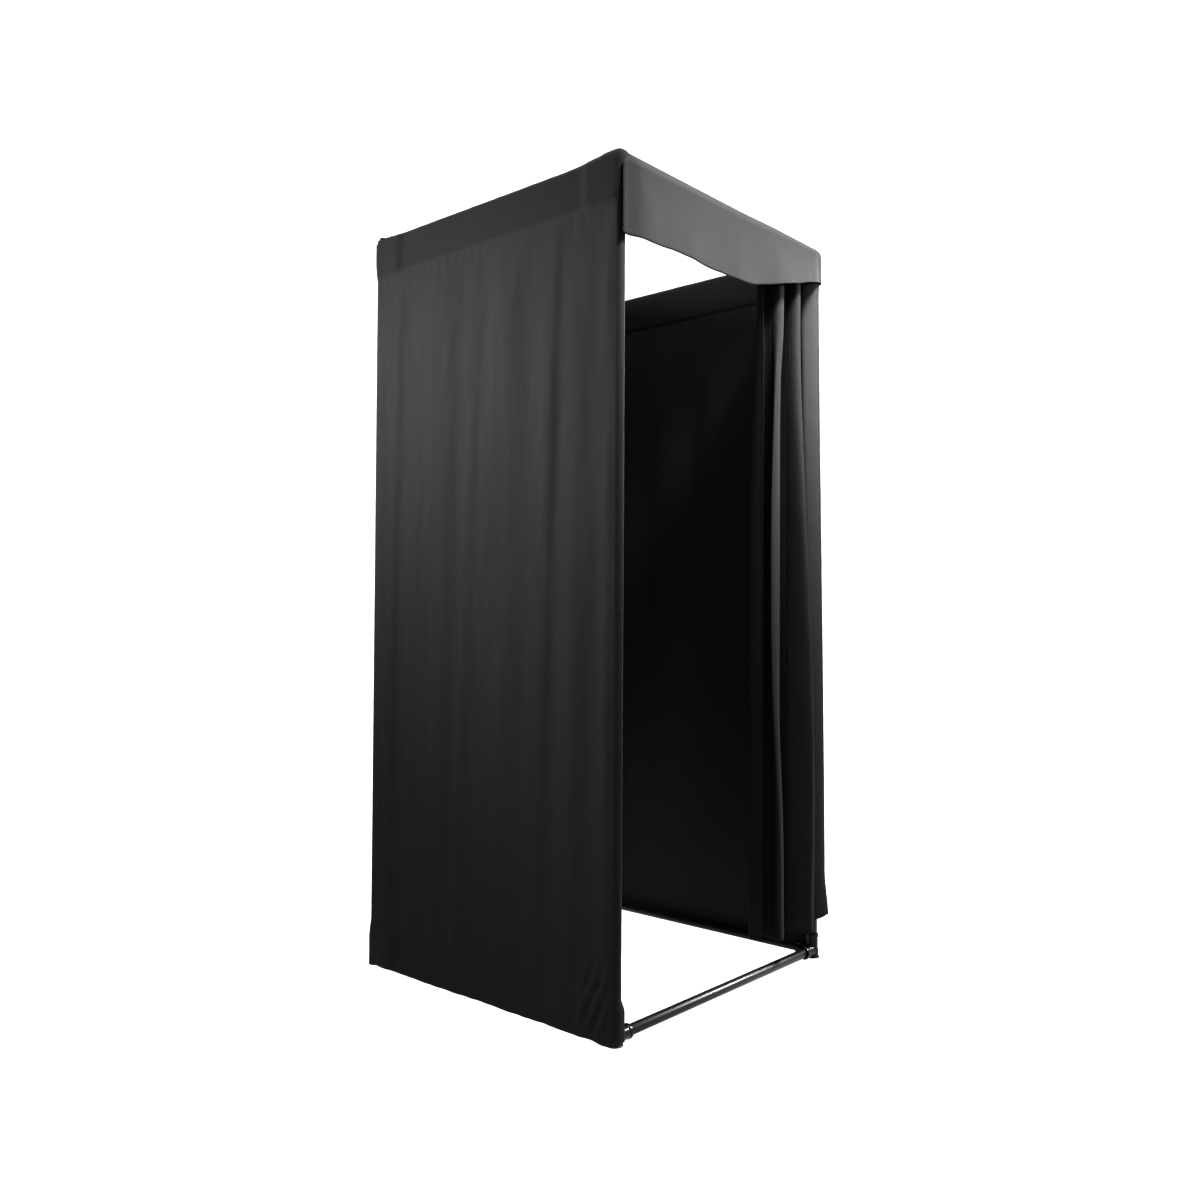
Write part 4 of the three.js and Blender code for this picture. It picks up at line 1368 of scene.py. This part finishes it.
def clothStrip(name, lineAt, middleX, node, bodies, places=None):
    # Rides on its first body, or, where places are given, rides on none and has its place baked into the
    # mesh
    high, low = curtain["top"], curtain["hem"]
    seed = curtain["seed"]
    grid = []
    for share in marks(0.0, 1.0, curtain["down"] * 1 / (high - low)):
        z = mixed(high, low, share)
        line = lineAt(share)
        lengths = [0.0]
        for a, b in zip(line, line[1:]):
            lengths.append(lengths[-1] + math.dist(a, b))
        row = []
        for (x, y), length in zip(line, lengths):
            x += middleX
            dip = curtain["scallop"] * min(1.0, abs(y) / depthAt(0, 0))
            dip *= 1 - ease(share / curtain["scallopDrop"])
            wobble = ripple("curtainSway", x, z, seed) + ripple("curtainFine", x, z, seed)
            wobble *= ease(min(length, lengths[-1] - length) / curtain["heldAt"])
            row.append(((x + wobble, -half + y + wobble, z - dip), (middleX - length, z - low)))
        grid.append(row)
    obj, area = sheetFrom(name, grid, curtain["thickness"])
    dressed(obj, name, "curtain", "curtain_cloth", None if places else bodies[0], node)
    if places:
        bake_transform(obj)
    flat = (area / (high - low) * curtain["cloth"], high - low)
    min(area, flat[0] * flat[1])
    print(name, "area", round(area, 3))


bodyNames = ["frame"] + [f"curtain_fold_{number}" for number in range(1, 5)]
for number in range(1, 5):
    clothStrip(
        f"curtain_fold_cloth_{number}",
        lambda share: foldLine(number, share),
        rings[number - 1].x - pitch / 2,
        f"curtain_pleat_{number}",
        bodyNames[number - 1:number + 1],
        rings[number - 1:number + 1],
    )
fixedNode, fixedClips = "curtain_fixed_edge", ["curtain_clip_1"]
clothStrip("curtain_fixed_cloth", fixedLine, rings[0].x, fixedNode, ["frame"])

ring = {"radius": 0.0215, "wire": 0.0015, "weld": 1.18, "weldHalf": 0.0022}
clip = {
    "eye": 0.0031,
    "eyeWire": 0.0009,
    "jawInside": 0.0011,
    "jawOutside": 0.0021,
    "depth": 0.007,
    "drop": 0.006,
    "bridge": 0.0025,
    "length": 0.012,
    "edge": 0.00035,
    "neck": [(0.0014, -0.0006), (0.0014, 0), (0.0009, 0.0012)],  # radius, and height over the jaws
    "eyeTop": 0.004,
}


def ringPiece():
    deselectAll()
    bpy.ops.mesh.primitive_torus_add(
        major_radius=ring["radius"], minor_radius=ring["wire"], major_segments=96, minor_segments=16
    )
    obj = bpy.context.object
    placed(obj, turnTo["x"])
    low = ring["weldHalf"]  # the weld is at the bottom of the ring
    selectIn("VERT", obj.data.vertices, lambda point: abs(point.co.y) < low and point.co.z < 0)
    weld = ring["weld"]
    bpy.ops.transform.resize(value=(weld, 1, weld), center_override=(0, 0, -ring["radius"]))
    setMode("OBJECT")
    smoothed(obj, 60)
    return obj


def clipPiece():
    top = -clip["drop"]
    whole = clip["bridge"] + clip["length"]
    deselectAll()
    bpy.ops.mesh.primitive_cube_add(size=1, location=(0, 0, top - whole / 2))
    jaws = bpy.context.object
    jaws.scale = (2 * clip["jawOutside"], clip["depth"], whole)
    placed(jaws, Matrix.Identity(4))
    deselectAll()
    slotMiddle = top - clip["bridge"] - clip["length"] / 2 - 0.001
    bpy.ops.mesh.primitive_cube_add(size=1, location=(0, 0, slotMiddle))
    slotCut = bpy.context.object
    slotCut.scale = (2 * clip["jawInside"], clip["depth"] * 2, clip["length"] + 0.002)
    placed(slotCut, Matrix.Identity(4))
    applyModifier(jaws, "BOOLEAN", object=slotCut, operation="DIFFERENCE", solver="EXACT")
    bpy.data.objects.remove(slotCut)
    applyModifier(jaws, "BEVEL", width=clip["edge"], segments=3, limit_method="ANGLE")
    deselectAll()
    bpy.ops.mesh.primitive_torus_add(
        major_radius=clip["eye"], minor_radius=clip["eyeWire"], major_segments=40, minor_segments=12
    )
    eye = bpy.context.object
    placed(eye, turnTo["y"])
    outline = [(radius, top + height) for radius, height in clip["neck"]]
    neck = turnedPiece(outline + [(outline[-1][0], -clip["eye"])], 20)
    obj = joined([jaws, eye, neck])
    smoothed(obj, 40)
    return obj


ringMaster = ringPiece()
clipMaster = clipPiece()
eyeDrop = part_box("curtain_clip_1")[1][2] - clip["eyeTop"]
for number, place in enumerate(rings, 1):
    body = bodyNames[number - 1]
    made = copyOf(ringMaster, Matrix.Translation(place))
    dressed(made, f"curtain_ring_{number}_wire", "chrome", "ring_chrome", body, f"curtain_ring_{number}")
    made = copyOf(clipMaster, Matrix.Translation((place.x, -half, eyeDrop)))
    dressed(made, f"curtain_clip_{number}_jaws", "chrome", "ring_chrome", body, f"curtain_clip_{number}")
for master in (ringMaster, clipMaster):
    bpy.data.objects.remove(master)
print("curtain made")


# Floor and studio

studio = {"floor": 60.0, "tone": 0.14, "glow": 0.88}
deselectAll()
bpy.ops.mesh.primitive_plane_add(size=studio["floor"], location=(0, 0, -0.0005))
floor = bpy.context.object
floor.name = "studio_floor"
floorMaterial, floorField, floorShader = newMaterial("studioFloor")
feed(floorShader, "Base Color", grey(studio["tone"]))
feed(floorShader, "Roughness", 0.9)
feed(floorShader, "Emission Color", grey(1.0))
feed(floorShader, "Emission Strength", studio["glow"])
floor.data.materials.append(floorMaterial)
world = scene.world or bpy.data.worlds.new("studio")
scene.world = world
world.use_nodes = True
backdrop = world.node_tree.nodes["Background"]
backdrop.inputs["Color"].default_value = (1, 1, 1, 1)
backdrop.inputs["Strength"].default_value = 1.0
scene.view_settings.view_transform = "Standard"
scene.view_settings.look = "High Contrast"
# Each light's place, target, size, power and spread in degrees
lights = {
    "leftBack": ((-1.95, 1.81, 2.11), (-0.44, -0.3, 1.5), (0.5, 0.5), 25, 56),
    "above": ((0.27, -0.99, 2.68), (0.27, -0.46, 1.67), (1.5, 0.25), 27, 40),
    "rightFront": ((2.4, -2.3, 2.6), (0.4, -0.45, 2.05), (0.5, 0.5), 8, 36),
    "rightBack": ((2.1, 1.6, 2.5), (0.44, 0.1, 1.4), (0.5, 0.5), 30, 60),
    "glint": ((2.52, -1.55, 1.82), (-0.1, -0.43, 0.03), (0.4, 0.4), 2.3, 16),
}
for name, (place, target, size, power, spread) in lights.items():
    data = bpy.data.lights.new(name, "AREA")
    data.shape = "RECTANGLE"
    data.size, data.size_y = size
    data.spread = math.radians(spread)
    data.energy = power
    lamp = bpy.data.objects.new(name, data)
    scene.collection.objects.link(lamp)
    turn = (Vector(place) - Vector(target)).to_track_quat("Z", "Y")
    lamp.matrix_world = Matrix.Translation(place) @ turn.to_matrix().to_4x4()
print("studio set")
